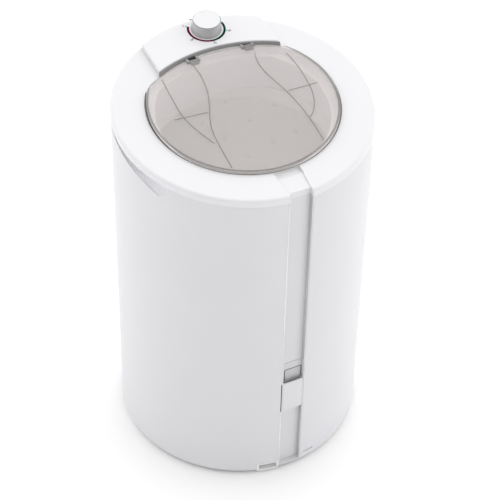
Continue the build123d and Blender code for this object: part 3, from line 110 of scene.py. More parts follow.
# %% Node helpers
def fill(tree, socket, value):
    """Sets a socket to a number or a colour, or links another node's output to it."""
    if isinstance(value, bpy.types.NodeSocket):
        tree.links.new(value, socket)
    else:
        socket.default_value = value


def maths(tree, kind, *inputs, vector=False, output="Value"):
    """The output of a maths node whose inputs are numbers, vectors or other outputs."""
    node = tree.nodes.new("ShaderNodeVectorMath" if vector else "ShaderNodeMath")
    node.operation = kind
    for socket, value in zip(node.inputs, inputs):
        fill(tree, socket, value)
    return node.outputs[output]


def overlay(tree, mask, under, over):
    """One colour laid over another as far as the mask says."""
    mix = tree.nodes.new("ShaderNodeMix")
    mix.data_type = "RGBA"
    for name, value in (("Factor", mask), ("A", under), ("B", over)):
        fill(tree, mix.inputs[name], value)
    return mix.outputs["Result"]


print("node helpers ready")

# %% [markdown]
# ## The light
# A white appliance on white paper needs light from all round, or it turns grey. The sky here is
# a painted dome without lamps: it is brightest behind the dryer and at its two sides, and
# dimmest behind the photographer. So the rim of the casing glows and its middle stays pale grey,
# which is what shows that it is round. An upper limit keeps the casing's back from burning out.

# %% Light
SKY_BASE = 1.27
SKY_LEAN = (0.519, 0.680, -0.10)
SKY_SIDES = 0.70
SKY_MOST = 1.555
ACROSS = (0.8944, -0.4473, 0.0)
WHITE = (1.0, 1.0, 1.0, 1.0)

scene.view_settings.view_transform = "Standard"
scene.view_settings.look = "None"
world = bpy.data.worlds.new("studio")
scene.world = world
world.use_nodes = True
sky = world.node_tree
sky_math = partial(maths, sky)

look = sky.nodes.new("ShaderNodeTexCoord").outputs["Generated"]
lean = sky_math("DOT_PRODUCT", look, SKY_LEAN, vector=True)
aside = sky_math("ABSOLUTE", sky_math("DOT_PRODUCT", look, ACROSS, vector=True))
sides = sky_math("MULTIPLY", sky_math("POWER", aside, 2.0), SKY_SIDES)
strength = sky_math("ADD", sky_math("ADD", lean, SKY_BASE), sides)
backdrop = sky.nodes["Background"]
backdrop.inputs["Color"].default_value = WHITE
sky.links.new(sky_math("MINIMUM", strength, SKY_MOST), backdrop.inputs["Strength"])
print("sky from", round(SKY_BASE - Vector(SKY_LEAN).length, 2), "to", SKY_MOST)

# %% [markdown]
# ## How a finish is made
# A finish is a small network: a noise drives colour, roughness and a faint bump, so the
# surface isn't a flat computer colour. The noise reads the piece's own coordinates, so it has
# the same scale in millimetres on every piece and doesn't slide when the camera moves. A
# bevel node rounds the light on sharp edges, as a moulding's edge does.

# %% Finish helper
COAT_ROUGHNESS = 0.12
GRAIN_DETAIL = 3.0
CLOUD_SCALE = 9.0
CLOUD_DETAIL = 4.0
CLOUD_SPAN = (0.35, 0.65)
ROUGH_SPREAD = 0.06
SMOOTHEST = 0.02
RELIEF_HEIGHT = 0.0004
BEVEL_SAMPLES = 4


def noise_node(tree, scale, detail, place):
    """The value of a noise of the given fineness."""
    noise = tree.nodes.new("ShaderNodeTexNoise")
    noise.inputs["Scale"].default_value = scale
    noise.inputs["Detail"].default_value = detail
    tree.links.new(place, noise.inputs["Vector"])
    return noise.outputs["Fac"]


def finish(name, colour, roughness, grain=900.0, bump=0.02, tint=0.03, metallic=0.0,
           coat=0.0, edge=0.0006, stretch=(1.0, 1.0, 1.0), specular=0.5):
    """A material with fine variation in colour, gloss and relief."""
    material = bpy.data.materials.new(name)
    material.use_nodes = True
    tree = material.node_tree
    shader = tree.nodes["Principled BSDF"]
    shader.inputs["Metallic"].default_value = metallic
    shader.inputs["Coat Weight"].default_value = coat
    shader.inputs["Coat Roughness"].default_value = COAT_ROUGHNESS
    shader.inputs["Specular IOR Level"].default_value = specular

    place = tree.nodes.new("ShaderNodeTexCoord").outputs["Object"]
    mapping = tree.nodes.new("ShaderNodeMapping")
    mapping.inputs["Scale"].default_value = stretch
    tree.links.new(place, mapping.inputs["Vector"])
    fine = noise_node(tree, grain, GRAIN_DETAIL, mapping.outputs["Vector"])

    shader.inputs["Base Color"].default_value = (*colour, 1.0)
    if tint:
        cloud = noise_node(tree, CLOUD_SCALE, CLOUD_DETAIL, place)
        ramp = tree.nodes.new("ShaderNodeValToRGB")
        darker = [c * (1 - tint) for c in colour]
        for stop, where, shade in zip(ramp.color_ramp.elements, CLOUD_SPAN, (darker, colour)):
            stop.position = where
            stop.color = (*shade, 1.0)
        tree.links.new(cloud, ramp.inputs["Fac"])
        tree.links.new(ramp.outputs["Color"], shader.inputs["Base Color"])

    spread = tree.nodes.new("ShaderNodeMapRange")
    spread.inputs["To Min"].default_value = max(SMOOTHEST, roughness - ROUGH_SPREAD)
    spread.inputs["To Max"].default_value = roughness + ROUGH_SPREAD
    tree.links.new(fine, spread.inputs["Value"])
    tree.links.new(spread.outputs["Result"], shader.inputs["Roughness"])

    relief = tree.nodes.new("ShaderNodeBump")
    relief.inputs["Strength"].default_value = bump
    relief.inputs["Distance"].default_value = RELIEF_HEIGHT
    tree.links.new(fine, relief.inputs["Height"])
    if edge:
        rounded = tree.nodes.new("ShaderNodeBevel")
        rounded.samples = BEVEL_SAMPLES
        rounded.inputs["Radius"].default_value = edge
        tree.links.new(rounded.outputs["Normal"], relief.inputs["Normal"])
    tree.links.new(relief.outputs["Normal"], shader.inputs["Normal"])
    return material


print("finish helper ready")

# %% [markdown]
# ## White and grey plastics, enamel and paint
# Enamel on steel has a faint orange peel under a clear gloss. Moulded plastic is a shade
# brighter, with a finer grain. Each moulding of the real dryer comes from its own press and
# batch, so channel, clip and spout each have a white of their own.

# %% Casing finishes
enamel = finish("white_enamel", (0.68, 0.68, 0.702), 0.36, grain=260.0, bump=0.05, tint=0.012,
                coat=0.04, edge=0.0008, specular=0.2)
moulding = finish("white_moulding", (0.735, 0.735, 0.75), 0.36, grain=1400.0, bump=0.04,
                  tint=0.012, edge=0.0012)
channel_plastic = finish("channel_plastic", (0.67, 0.67, 0.69), 0.4, grain=900.0, bump=0.04,
                         tint=0.012, edge=0.0008)
clip_plastic = finish("clip_plastic", (0.675, 0.675, 0.695), 0.38, grain=1200.0, bump=0.04,
                      tint=0.012, edge=0.001)
spout_plastic = finish("spout_plastic", (0.9, 0.9, 0.9), 0.4, grain=1200.0, bump=0.04,
                       tint=0.02)
strip_plastic = finish("grey_strip_plastic", (0.28, 0.28, 0.28), 0.42, grain=1800.0, bump=0.06,
                       tint=0.05, edge=0.0006)
silver_paint = finish("silver_paint", (0.48, 0.48, 0.485), 0.36, grain=3500.0, bump=0.05,
                      tint=0.03, metallic=0.25, coat=0.3)
plate_metal = finish("plate_foil", (0.56, 0.56, 0.57), 0.42, grain=500.0, bump=0.06, tint=0.05,
                     stretch=(1, 1, 12), metallic=0.2)
print("casing finishes", len(bpy.data.materials))

# %% [markdown]
# ## The finishes inside
# Brushed and turned metals are the same network with the noise stretched along the strokes,
# here up and down. The drum's steel is paler than bare steel, because the light that bounces
# about in it and soaks through the white plastic round it makes it look so.

# %% Inner finishes
tub_plastic = finish("tub_plastic", (0.88, 0.88, 0.87), 0.45, grain=1200.0, bump=0.08, tint=0.03)
dark_plastic = finish("dark_plastic", (0.035, 0.035, 0.037), 0.42, grain=1600.0, bump=0.1,
                      tint=0.2)
soft_rubber = finish("soft_rubber", (0.03, 0.03, 0.03), 0.7, grain=1100.0, bump=0.15, tint=0.25)
bright_steel = finish("brushed_steel", (0.55, 0.55, 0.56), 0.3, grain=300.0, bump=0.1,
                      tint=0.06, metallic=1.0, stretch=(1, 1, 14))
drum_steel = finish("drum_stainless", (0.95, 0.95, 0.945), 0.42, grain=160.0, bump=0.02,
                    tint=0.03, metallic=1.0, stretch=(0.6, 0.6, 16))
cast_aluminium = finish("cast_aluminium", (0.58, 0.58, 0.6), 0.5, grain=1500.0, bump=0.3,
                        tint=0.08, metallic=0.9)
turned_iron = finish("turned_iron", (0.16, 0.155, 0.15), 0.45, grain=500.0, bump=0.25,
                     tint=0.2, metallic=0.8, stretch=(1, 1, 10))
copper_wire = finish("copper_wire", (0.62, 0.24, 0.09), 0.32, grain=900.0, bump=0.5, tint=0.25,
                     metallic=0.9, stretch=(1, 1, 3))
print("finishes", len(bpy.data.materials), "with those inside")

# %% [markdown]
# ## The paper and the pockets
# The paper is a plain, dull white without relief. The pockets behind the hand slots are thin
# white plastic, and daylight soaks through them from the top. To follow that light through the
# wall would take long to render, so a faint painted glow of the plastic stands in for it and
# lights the pockets' shade.

# %% Paper and pockets
POCKET_GLOW = 0.155
DAYLIGHT = (0.95, 0.95, 1.0, 1.0)

pocket_painted_glow = finish("pocket_painted_glow", (0.96, 0.96, 0.965), 0.5, grain=1400.0, bump=0.04,
                        tint=0.01, edge=0.0012)
pocket_shader = pocket_painted_glow.node_tree.nodes["Principled BSDF"]
# Painted glow: the emission lights the pockets in place of the light that would soak through.
pocket_shader.inputs["Emission Color"].default_value = DAYLIGHT
pocket_shader.inputs["Emission Strength"].default_value = POCKET_GLOW
paper = finish("floor_paper", (0.97, 0.97, 0.97), 0.9, grain=300.0, bump=0.0, tint=0.0, edge=0)
floor.data.materials.append(paper)
print("pockets glow", POCKET_GLOW)

# %% [markdown]
# ## The foil on the plate
# A grey foil with a dark border is stuck on the plate, a little right of its middle. Its top
# corners are round. The rest of the plate keeps the channel's colour. How far a spot lies past
# the straight parts of the foil's outline tells foil, border and bare plate apart, so no
# picture is needed.

# %% Foil
FOIL_MIDDLE = 0.0025
FOIL_HALF = 0.017
FOIL_TOP = 0.2585
FOIL_CORNER = 0.003
BORDER_WIDTH = 0.0019
BORDER_GREY = (0.06, 0.06, 0.065, 1.0)
BARE_PLATE = (0.6, 0.6, 0.62, 1.0)

foil_tree = plate_metal.node_tree
foil_math = partial(maths, foil_tree)
foil_place = foil_tree.nodes.new("ShaderNodeSeparateXYZ")
plate_place = foil_tree.nodes["Texture Coordinate"].outputs["Object"]
foil_tree.links.new(plate_place, foil_place.inputs["Vector"])

from_middle = foil_math("ABSOLUTE", foil_math("SUBTRACT", foil_place.outputs["X"], FOIL_MIDDLE))
straight_side, straight_top = FOIL_HALF - FOIL_CORNER, FOIL_TOP - FOIL_CORNER
past_side = foil_math("MAXIMUM", foil_math("SUBTRACT", from_middle, straight_side), 0.0)
past_top = foil_math("MAXIMUM", foil_math("SUBTRACT", foil_place.outputs["Z"], straight_top), 0.0)
squares = [foil_math("MULTIPLY", past, past) for past in (past_side, past_top)]
past_corner = foil_math("SQRT", foil_math("ADD", *squares))

foil_colour = foil_tree.nodes["Principled BSDF"].inputs["Base Color"]
paint = foil_colour.links[0].from_socket
for limit, colour in ((FOIL_CORNER - BORDER_WIDTH, BORDER_GREY), (FOIL_CORNER, BARE_PLATE)):
    paint = overlay(foil_tree, foil_math("GREATER_THAN", past_corner, limit), paint, colour)
foil_tree.links.new(paint, foil_colour)
print("foil", round(2000 * FOIL_HALF), "mm wide")

# %% [markdown]
# ## Where the lid has ribs
# On a rib the lid's finish is darker and covers more, so the finish has to know where the
# ribs are. The dome is a shallow bowl upside down, its height falling with the square of the
# distance from the middle. A few sums tell whether a spot lies above the dome, and there it must
# be a rib. The lid lies on the top's slope, so the sums measure along that slope.

# %% Rib mask
TOP_HEIGHT = 0.6922
TOP_SLOPE = math.radians(4.65)
TOP_UP = (0.0, -math.sin(TOP_SLOPE), math.cos(TOP_SLOPE))
CROWN_RISE = 0.0095
CROWN_SPAN = 6.166
RIB_STARTS = 0.0003

lid_finish = bpy.data.materials.new("smoked_lid")
lid_finish.use_nodes = True
lid_tree = lid_finish.node_tree
lid_math = partial(maths, lid_tree)
lid_vector = partial(lid_math, vector=True)

lid_place = lid_tree.nodes.new("ShaderNodeTexCoord").outputs["Object"]
spot = lid_vector("SUBTRACT", lid_place, (0.0, 0.0, TOP_HEIGHT), output="Vector")
above = lid_vector("DOT_PRODUCT", spot, TOP_UP)
away_squared = lid_math("SUBTRACT", lid_vector("DOT_PRODUCT", spot, spot),
                        lid_math("MULTIPLY", above, above))
crown = lid_math("SUBTRACT", CROWN_RISE, lid_math("DIVIDE", away_squared, CROWN_SPAN))
rib_mask = lid_math("GREATER_THAN", lid_math("SUBTRACT", above, crown), RIB_STARTS)
print("a rib starts", RIB_STARTS, "m above the dome")

# %% [markdown]
# ## The clear lid
# The real lid is smoked, see-through plastic that also scatters some light, so the drum below
# looks pale and soft. Pure glass would be too clear. A mix of a see-through tint and a glossy
# plastic gives both, and it covers more on a rib. Light passes two surfaces of the lid, so the
# cover counts twice.

# %% Lid finish
LID_TINT = (0.955, 0.94, 0.935, 1.0)
LID_BODY = (0.97, 0.93, 0.92, 1.0)
LID_DARK = (0.10, 0.095, 0.09, 1.0)
LID_COVER = 0.25
LID_FULL_COVER = 0.8
LID_ROUGHNESS = 0.12
LID_COAT = 0.3
RIB_SHADE = 0.85

lid_shader = lid_tree.nodes["Principled BSDF"]
lid_shader.inputs["Roughness"].default_value = LID_ROUGHNESS
lid_shader.inputs["Coat Weight"].default_value = LID_COAT
darkness = lid_math("MULTIPLY", rib_mask, RIB_SHADE)
lid_colour = overlay(lid_tree, darkness, LID_BODY, LID_DARK)
lid_tree.links.new(lid_colour, lid_shader.inputs["Base Color"])
see_through = lid_tree.nodes.new("ShaderNodeBsdfTransparent")
see_through.inputs["Color"].default_value = LID_TINT
cover = lid_tree.nodes.new("ShaderNodeMapRange")
cover.inputs["To Min"].default_value = LID_COVER
cover.inputs["To Max"].default_value = LID_FULL_COVER
lid_tree.links.new(darkness, cover.inputs["Value"])
blend = lid_tree.nodes.new("ShaderNodeMixShader")
blend_parts = (cover.outputs["Result"], see_through.outputs["BSDF"], lid_shader.outputs["BSDF"])
for socket, part in zip(blend.inputs, blend_parts):
    lid_tree.links.new(part, socket)
lid_tree.links.new(blend.outputs["Shader"], lid_tree.nodes["Material Output"].inputs["Surface"])
print("lid covers", LID_COVER, "between its ribs")

# %% [markdown]
# ## Dress the CAD pieces
# Each CAD piece keeps its shape, and only its material slot is filled. A table from finish to
# pieces is easier to read than a line for each piece. What it doesn't name is a screw, a nut, a
# shaft or a plate of bright steel.

# %% Dress
DRESS = {
    enamel: ["body_shell"],
    pocket_painted_glow: ["handle_cup_left", "handle_cup_right"],
    moulding: ["top_cover", "control_panel", "knob_cap", "base_pan"],
    clip_plastic: ["channel_clip"],
    spout_plastic: ["drain_spout"],
    channel_plastic: ["seam_channel"],
    strip_plastic: ["hinge_strip"],
    silver_paint: ["timer_knob"],
    plate_metal: ["rating_plate"],
    lid_finish: ["lid"],
    tub_plastic: ["tub", "tub_ring", "balance_ring", "hub_cap"],
    dark_plastic: ["timer_body", "shaft_bush", "lid_switch", "cord_gland"],
    soft_rubber: ["rubber_feet", "tub_seal", "drain_hose", "shaft_boot", "brake_shoe",
                  "brake_cable", "rubber_mount_1", "rubber_mount_2", "rubber_mount_3"],
    drum_steel: ["basket"],
    cast_aluminium: ["drum_hub", "lower_bell", "upper_bell", "capacitor"],
    turned_iron: ["brake_drum"],
    copper_wire: ["motor_windings"],
}
finish_of = {name: material for material, names in DRESS.items() for name in names}
for name, node in nodes.items():
    node.data.materials.clear()
    node.data.materials.append(finish_of.get(name, bright_steel))
print("dressed", len(finish_of), "by name, the other", len(nodes) - len(finish_of), "in steel")

# %% [markdown]
# ## The sloping top as a drawing board
# The cover, the panel and the lid all lie on one plane that rises towards the back. It is
# easier to draw on that plane as if it were level, and to tip the finished mesh over with one
# matrix, than to work out the slope for each point.

# %% Drawing board
TOP_TURN = Matrix.Translation((0, 0, TOP_HEIGHT)) @ Matrix.Rotation(TOP_SLOPE, 4, "X")


def settle(piece, body, material, smooth=False):
    """Tips a piece drawn on the level board on to the sloping top and gives it to a body."""
    piece.data.transform(TOP_TURN)
    piece.data.materials.clear()
    piece.data.materials.append(material)
    for face in piece.data.polygons:
        face.use_smooth = smooth
    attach(piece, body)
    return piece


print("the board rises", round(math.degrees(TOP_SLOPE), 2), "degrees")

# %% [markdown]
# ## Ribbons
# Ink, a seam or a lining is a thin band. Two rows of plan points give its two sides, and the
# band between them is closed above, below and at its ends, so it is a true solid and not a
# loose sheet. Arcs and ticks are only two ways to lay out the rows.

# %% Ribbon helpers
def ribbons(name, strips, low, high):
    """One mesh of thin solid ribbons, each between two rows of plan points."""
    points, faces = [], []
    for left, right in strips:
        start, count = len(points), len(left)
        up = 2 * count
        for level in (low, high):
            points += [(x, y, level) for x, y in left] + [(x, y, level) for x, y in right]
        for k in range(count - 1):
            a, b = start + k, start + count + k
            faces += [(a, b, b + 1, a + 1), (a + up, a + 1 + up, b + 1 + up, b + up)]
            faces += [(a, a + 1, a + 1 + up, a + up), (b + 1, b, b + up, b + 1 + up)]
        first, last = start, start + count - 1
        faces += [(first, first + up, first + count + up, first + count)]
        faces += [(last, last + count, last + count + up, last + up)]
    return mesh_piece(name, points, faces)


def arc_points(middle, radius, start, end, steps):
    """Plan points along an arc, with its angles in degrees."""
    turns = [math.radians(start + (end - start) * k / steps) for k in range(steps + 1)]
    return [(middle[0] + radius * math.cos(t), middle[1] + radius * math.sin(t)) for t in turns]


def arc_strip(middle, radius, width, start, end, steps=48):
    """The two sides of a curved stroke."""
    return (arc_points(middle, radius + width / 2, start, end, steps),
            arc_points(middle, radius - width / 2, start, end, steps))


def tick_strip(middle, inner, outer, width, angle):
    """The two sides of a short stroke that points away from the middle."""
    t = math.radians(angle)
    along = Vector((math.cos(t), math.sin(t)))
    across = Vector((-math.sin(t), math.cos(t))) * width / 2
    ends = [Vector(middle) + along * r for r in (inner, outer)]
    return [tuple(e + across) for e in ends], [tuple(e - across) for e in ends]


print("ribbon helpers ready")

# %% [markdown]
# ## The dial's arcs and ticks
# A red arc and a green arc are screen-printed round the knob, with a tick at each step. Ink is
# a skin, so each mark is a ribbon a tenth of a millimetre thick that lies on the panel. As
# geometry it stays sharp in a close view, which a painted texture wouldn't.

# %% Dial
PANEL_RISE = 0.009
INK_HIGH = PANEL_RISE + 0.00012
DIAL_MIDDLE = (0.017, 0.186)
DIAL_RADIUS = 0.0315
INK_WIDTH = 0.0041
RED_ARC = (149.0, 267.0)
GREEN_ARC = (267.0, 371.0)
DIAL_STEPS = {"5": 149.0, "10": 206.0, "15": 268.0, "20": 331.0}
STEP_TICK = (0.0340, 0.0366, 0.0014)
END_TICKS = (116.0, 25.0)
END_TICK = (0.0325, 0.0374, 0.0023)

ink = partial(finish, roughness=0.7, grain=2600.0, bump=0.03, tint=0.15, edge=0, specular=0.05)
ink_red = ink("ink_red", (0.12, 0.0, 0.018))
ink_green = ink("ink_green", (0.0, 0.042, 0.02))
ink_grey = ink("ink_grey", (0.03, 0.03, 0.032))

for name, span, colour in (("dial_arc_red", RED_ARC, ink_red),
                           ("dial_arc_green", GREEN_ARC, ink_green)):
    arc = arc_strip(DIAL_MIDDLE, DIAL_RADIUS, INK_WIDTH, *span)
    settle(ribbons(name, [arc], PANEL_RISE, INK_HIGH), "casing", colour)

ticks = [tick_strip(DIAL_MIDDLE, *STEP_TICK, angle) for angle in DIAL_STEPS.values()]
ticks += [tick_strip(DIAL_MIDDLE, *END_TICK, angle) for angle in END_TICKS]
settle(ribbons("dial_ticks", ticks, PANEL_RISE, INK_HIGH), "casing", ink_grey)
print("dial", len(ticks), "ticks and 2 arcs")

# %% [markdown]
# ## The dial's numbers
# The numbers are printed with the arcs. A text curve draws each one from the font that comes
# with Blender. It is turned into a mesh straight away, so that it can be tipped on to the
# panel like every other mark.

# %% Numbers
DIGIT_HIGH = 0.0042
DIGIT_SHARE = 0.7
DIGIT_THICK = 0.00005
NUMBER_REACH = 0.0397


def printed_number(text, angle):
    """A number lying on the panel, just outside its tick."""
    curve = bpy.data.curves.new("number", "FONT")
    curve.body = text
    curve.size = DIGIT_HIGH / DIGIT_SHARE
    curve.extrude = DIGIT_THICK
    curve.align_x, curve.align_y = "CENTER", "CENTER"
    letters = bpy.data.objects.new("number", curve)
    mesh = bpy.data.meshes.new_from_object(letters)
    bpy.data.objects.remove(letters)
    t = math.radians(angle)
    x = DIAL_MIDDLE[0] + NUMBER_REACH * math.cos(t)
    y = DIAL_MIDDLE[1] + NUMBER_REACH * math.sin(t)
    mesh.transform(Matrix.Translation((x, y, INK_HIGH)))
    number = link(bpy.data.objects.new("dial_number_" + text, mesh))
    return settle(number, "casing", ink_grey)


for text, angle in DIAL_STEPS.items():
    printed_number(text, angle)
print("numbers", ", ".join(DIAL_STEPS))

# %% [markdown]
# ## Turning a profile
# A ring or a knob's dot is round, as if turned on a lathe. A closed profile of points is
# repeated round a middle, and faces join each copy to the next.

# %% Lathe helper
def built(name, bm):
    """Turns a finished bmesh into an object."""
    mesh = bpy.data.meshes.new(name)
    bm.to_mesh(mesh)
    bm.free()
    return link(bpy.data.objects.new(name, mesh))


def lathe(name, profile, middle, steps=96):
    """A closed profile of (reach, rise) points carried round a point of the board."""
    bm = bmesh.new()
    rows = []
    for k in range(steps):
        t = math.radians(360.0 * k / steps)
        rows.append([bm.verts.new((middle[0] + r * math.cos(t), middle[1] + r * math.sin(t), z))
                     for r, z in profile])
    n = len(profile)
    for k in range(steps):
        here, there = rows[k], rows[(k + 1) % steps]
        for j in range(n):
            bm.faces.new((here[j], there[j], there[(j + 1) % n], here[(j + 1) % n]))
    bmesh.ops.recalc_face_normals(bm, faces=bm.faces)
    return built(name, bm)


def bead(reach, rise, radius, corners=10):
    """The round profile of a thin wire or line."""
    turns = [2 * math.pi * k / corners for k in range(corners)]
    return [(reach + radius * math.cos(a), rise + radius * math.sin(a)) for a in turns]


print("lathe ready")

# %% [markdown]
# ## The knob's small parts
# A fine dark joint shows between the white cap and the silver skirt, and a moulded dot on the
# cap tells the hand where the knob points. Both turn with the knob. The dot's profile starts
# just off its own middle, so that no face shrinks to a point.

# %% Knob details
KNOB_HIGH = PANEL_RISE + 0.0205
CAP_PROUD = 0.0006
JOINT_REACH = 0.0237
JOINT_RADIUS = 0.00035
DOT_SHIFT = (0.001, 0.0196)
DOT_TOP = KNOB_HIGH + CAP_PROUD
DOT_PROFILE = [(0.0002, -0.0002), (0.0016, -0.0002), (0.0013, 0.0001), (0.0002, 0.0002)]
DOT_STEPS = 32

joint_dark = finish("joint_shadow", (0.05, 0.05, 0.052), 0.5, grain=2200.0, bump=0.05, tint=0.2,
                    edge=0)
dot_grey = finish("dot_grey", (0.62, 0.62, 0.63), 0.4, grain=2200.0, bump=0.05, tint=0.05, edge=0)
joint = lathe("knob_joint", bead(JOINT_REACH, KNOB_HIGH, JOINT_RADIUS), DIAL_MIDDLE)
settle(joint, "knob", joint_dark, smooth=True)
dot_place = (DIAL_MIDDLE[0] + DOT_SHIFT[0], DIAL_MIDDLE[1] + DOT_SHIFT[1])
dot = lathe("knob_dot", [(r, DOT_TOP + z) for r, z in DOT_PROFILE], dot_place, DOT_STEPS)
settle(dot, "knob", dot_grey, smooth=True)
print("knob top at", round(DOT_TOP, 4), "m above the board")

# %% [markdown]
# ## A skin on the lid's roll
# The lid's edge is rolled like a thin pipe. It is round up to the cut at the lid's rear, where
# it runs along the hinge strip, and two circles that cross tell the angles of that cut. A skin
# follows the pipe between two angles of its roundness, which may change on the way round.

# %% Roll helper
LID_RADIUS = 0.1635
LID_REAR = 0.2379
ROLL_RADIUS = 0.00448
ROLL_LOW = 0.0015
STRIP_CENTRE = Vector((0.003, -0.1057))
SKIN = 0.00012
EDGE_STEPS = 220
ROLL_STEPS = 7

strip_away = STRIP_CENTRE.length
cut_lean = (LID_RADIUS**2 + strip_away**2 - LID_REAR**2) / (2 * LID_RADIUS * strip_away)
cut_half = math.degrees(math.acos(cut_lean))
cut_facing = math.degrees(math.atan2(STRIP_CENTRE.y, STRIP_CENTRE.x))
edge_start, edge_end = cut_facing - cut_half, cut_facing + cut_half


def roll_band(name, low, high):
    """A skin on the lid's roll, between two angles of the roll that may vary round the lid."""
    points, faces = [], []
    for k in range(EDGE_STEPS + 1):
        t = math.radians(edge_start + (edge_end - edge_start) * k / EDGE_STEPS)
        first, last = low(t), high(t)
        for lift in (SKIN, -SKIN):
            around = ROLL_RADIUS + lift
            for j in range(ROLL_STEPS + 1):
                a = math.radians(first + (last - first) * j / ROLL_STEPS)
                r = LID_RADIUS - ROLL_RADIUS + around * math.cos(a)
                points.append((r * math.cos(t), r * math.sin(t), ROLL_LOW + around * math.sin(a)))
    layer = ROLL_STEPS + 1
    for k in range(EDGE_STEPS):
        here, there = k * 2 * layer, (k + 1) * 2 * layer
        for j in range(ROLL_STEPS):
            inner = layer + j
            faces.append((here + j, there + j, there + j + 1, here + j + 1))
            faces.append((here + inner, here + inner + 1, there + inner + 1, there + inner))
        for j in (0, ROLL_STEPS):
            faces.append((here + j, here + layer + j, there + layer + j, there + j))
    return mesh_piece(name, points, faces)


print("the lid's round edge spans", round(edge_end - edge_start), "degrees")

# %% [markdown]
# ## The lid's painted edge shade
# Looking down through the rolled edge, the eye sees a dark line of shade, widest at the lid's two
# sides.
# A render of thick smoked plastic could find that line by itself, but slowly, so a dark skin
# paints the shade on at once. Its width follows a power of the cosine round the lid, so it thins
# out towards the front. A second, finer painted line of shade marks where the roll begins.

# %% Lid edge
WIDEST = math.radians(-20.0)
EDGE_LEAST = 12.0
EDGE_SWELL = 52.0
EDGE_POWER = 6
LINE_FROM, LINE_TO = 102.0, 112.0


def swelling(t):
    """The angle on the roll up to which the painted band of shade reaches."""
    return EDGE_LEAST + EDGE_SWELL * math.cos(t - WIDEST) ** EDGE_POWER


edge_shade_paint = finish("lid_edge_painted_shade", (0.012, 0.011, 0.011), 0.4, grain=1500.0, bump=0.03,
                   tint=0.15, coat=0.3, edge=0)
roll_line_shade_paint = finish("lid_line_painted_shade", (0.16, 0.15, 0.147), 0.25, grain=1500.0, bump=0.03,
                   tint=0.1, coat=0.3, edge=0)
# Painted shade: dark skins on the roll stand in for the dark lines seen through the thick
# plastic.
edge_band = roll_band("lid_edge_band", lambda t: 0.0, swelling)
settle(edge_band, "lid", edge_shade_paint, smooth=True)
edge_line = roll_band("lid_edge_line", lambda t: LINE_FROM, lambda t: LINE_TO)
settle(edge_line, "lid", roll_line_shade_paint, smooth=True)
print("the dark band reaches", EDGE_LEAST, "to", EDGE_LEAST + EDGE_SWELL, "degrees up the roll")

# %% [markdown]
# ## The hinge slots
# In front of the strip, each lug of the lid dips into a slot in shadow. A small black block
# paints
# that shadow: it stands between the ears, behind the lug, and its back follows the strip's curve.
# A fine line marks the strip's lower edge where it meets the cover.

# %% Hinge slots
LUG_PLACES = (-0.036, 0.065)
SLOT_HALF = 0.0072
SLOT_DEEP = 0.0036
SLOT_SUNK = 0.0012
SLOT_STOP = 0.1266
SLOT_LOW, SLOT_RISE = 0.0002, 0.0062
SLOT_SPANS = 8
STRIP_FRONT = 0.2401
LINE_INSET = 0.00015
LINE_WIDTH = 0.0007
LINE_LOW, LINE_RISE = 0.0001, 0.0011
LINE_SPAN = (64.3, 114.8, 120)


def strip_curve(x):
    """How far back the strip's front face lies, sunk in by a little."""
    reach = STRIP_FRONT + SLOT_SUNK
    return STRIP_CENTRE.y + math.sqrt(reach ** 2 - (x - STRIP_CENTRE.x) ** 2)


slot_painted_shadow = finish("slot_painted_shadow", (0.012, 0.012, 0.012), 0.6, grain=1800.0, bump=0.08, tint=0.2,
                    edge=0)
# Painted shadow: a black block fills each slot behind its lug.
for number, place in enumerate(LUG_PLACES, 1):
    across = [place + SLOT_HALF * (2 * k / SLOT_SPANS - 1) for k in range(SLOT_SPANS + 1)]
    rear = [(x, strip_curve(x)) for x in across]
    front = [(x, max(y - SLOT_DEEP, SLOT_STOP)) for x, y in rear]
    slot_shadow_block = ribbons(f"hinge_slot_shadow_{number}", [(rear, front)], SLOT_LOW, SLOT_RISE)
    settle(slot_shadow_block, "casing", slot_painted_shadow)
strip_arc = arc_strip(tuple(STRIP_CENTRE), STRIP_FRONT - LINE_INSET, LINE_WIDTH, *LINE_SPAN)
strip_line = ribbons("strip_edge_line", [strip_arc], LINE_LOW, LINE_RISE)
settle(strip_line, "casing", ink_grey)
print("hinge slots", len(LUG_PLACES), "and the strip's edge line")

# %% [markdown]
# ## A bar with rounded edges
# Trim along a seam is a long, straight bar. Six numbers give the box that it fills: left and
# right, front and back, foot and head. The bevel operator rounds the long edges, because no
# moulded edge is quite sharp and a rounded one catches the light.

# %% Bar helper
BOX_FACES = ((0, 1, 2, 3), (7, 6, 5, 4), (0, 4, 5, 1), (1, 5, 6, 2), (2, 6, 7, 3), (3, 7, 4, 0))
BEVEL_SEGMENTS = 3


def bar(name, box, rounding, material):
    """A straight bar of the casing between two corners, with its long edges rounded."""
    x0, x1, y0, y1, z0, z1 = box
    bm = bmesh.new()
    plan = ((x0, y0), (x1, y0), (x1, y1), (x0, y1))
    corners = [bm.verts.new((x, y, z)) for z in (z0, z1) for x, y in plan]
    for face in BOX_FACES:
        bm.faces.new([corners[k] for k in face])
    bmesh.ops.recalc_face_normals(bm, faces=bm.faces)
    long_edges = [edge for edge in bm.edges
                  if abs(edge.verts[0].co.z - edge.verts[1].co.z) > (z1 - z0) / 2]
    bmesh.ops.bevel(bm, geom=long_edges, offset=rounding, segments=BEVEL_SEGMENTS, profile=0.5,
                    affect="EDGES")
    piece = built(name, bm)
    piece.data.materials.append(material)
    for face in piece.data.polygons:
        face.use_smooth = True
    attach(piece, "casing")
    return piece


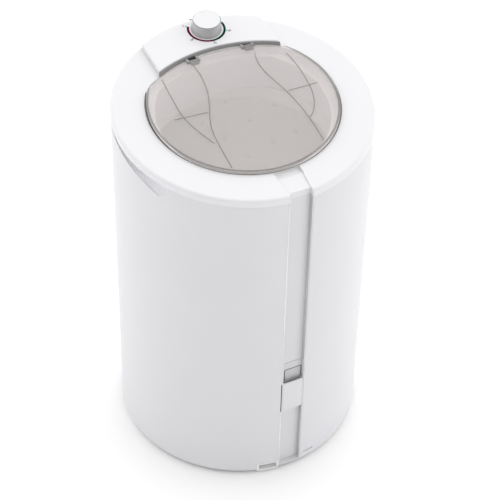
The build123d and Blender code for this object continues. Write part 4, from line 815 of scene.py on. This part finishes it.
print("bar helper ready")

# %% [markdown]
# ## The channel's two edges
# A bright white bar along the gap between the rolled sheet and the plastic channel on the left
# paints the highlight on the sheet's rolled edge, and a dark seam shows beside the clip. On the
# right, a grey bar paints the shade on the channel's wall. Two white ears flank the drain notch.
# The painted highlight and shade stop at the clip and go on below it.

# %% Channel edges
BAND_FOOT = 0.6605
HIGHLIGHT_SIDES = (-0.0226, -0.0211, -0.2196, -0.2176)
HIGHLIGHT_UPPER = (*HIGHLIGHT_SIDES, 0.2315, BAND_FOOT)
HIGHLIGHT_LOWER = (*HIGHLIGHT_SIDES, 0.016, 0.1595)
CLIP_SEAM = (-0.0225, -0.0212, -0.2192, -0.2176, 0.1605, 0.2312)
WALL_SHADE_SIDES = (0.01925, 0.01955, -0.2186, -0.2109)
WALL_SHADE_UPPER = (*WALL_SHADE_SIDES, 0.2765, BAND_FOOT)
WALL_SHADE_LOWER = (*WALL_SHADE_SIDES, 0.020, 0.1585)
EAR_HEIGHTS = (0.0072, 0.0262)
EAR_LEFT = (-0.0612, -0.0590, -0.2122, -0.2085, *EAR_HEIGHTS)
EAR_RIGHT = (-0.0243, -0.0219, -0.2194, -0.2155, *EAR_HEIGHTS)
HIGHLIGHT_ROUND = 0.0004
THIN_ROUND = 0.0001
EAR_ROUND = 0.0007

# The bright white paints the highlight on the rolled edge and is also the ears' own white.
white_and_painted_highlight = finish("white_and_painted_highlight", (0.88, 0.88, 0.885), 0.3, grain=1200.0, bump=0.03, tint=0.01,
                    edge=0)
wall_painted_shade = finish("wall_painted_shade", (0.6, 0.6, 0.605), 0.5, grain=1200.0, bump=0.05, tint=0.05, edge=0)
# Painted highlight along the sheet's rolled edge, above and below the clip.
bar("seam_highlight_upper", HIGHLIGHT_UPPER, HIGHLIGHT_ROUND, white_and_painted_highlight)
bar("seam_highlight_lower", HIGHLIGHT_LOWER, HIGHLIGHT_ROUND, white_and_painted_highlight)
bar("clip_seam", CLIP_SEAM, THIN_ROUND, ink_grey)
# Painted shade on the channel's right wall, above and below the clip.
bar("channel_wall_shade_upper", WALL_SHADE_UPPER, THIN_ROUND, wall_painted_shade)
bar("channel_wall_shade_lower", WALL_SHADE_LOWER, THIN_ROUND, wall_painted_shade)
bar("spout_ear_left", EAR_LEFT, EAR_ROUND, white_and_painted_highlight)
bar("spout_ear_right", EAR_RIGHT, EAR_ROUND, white_and_painted_highlight)
print("trim", round(HIGHLIGHT_UPPER[5] - HIGHLIGHT_UPPER[4], 3), "m tall above the clip")
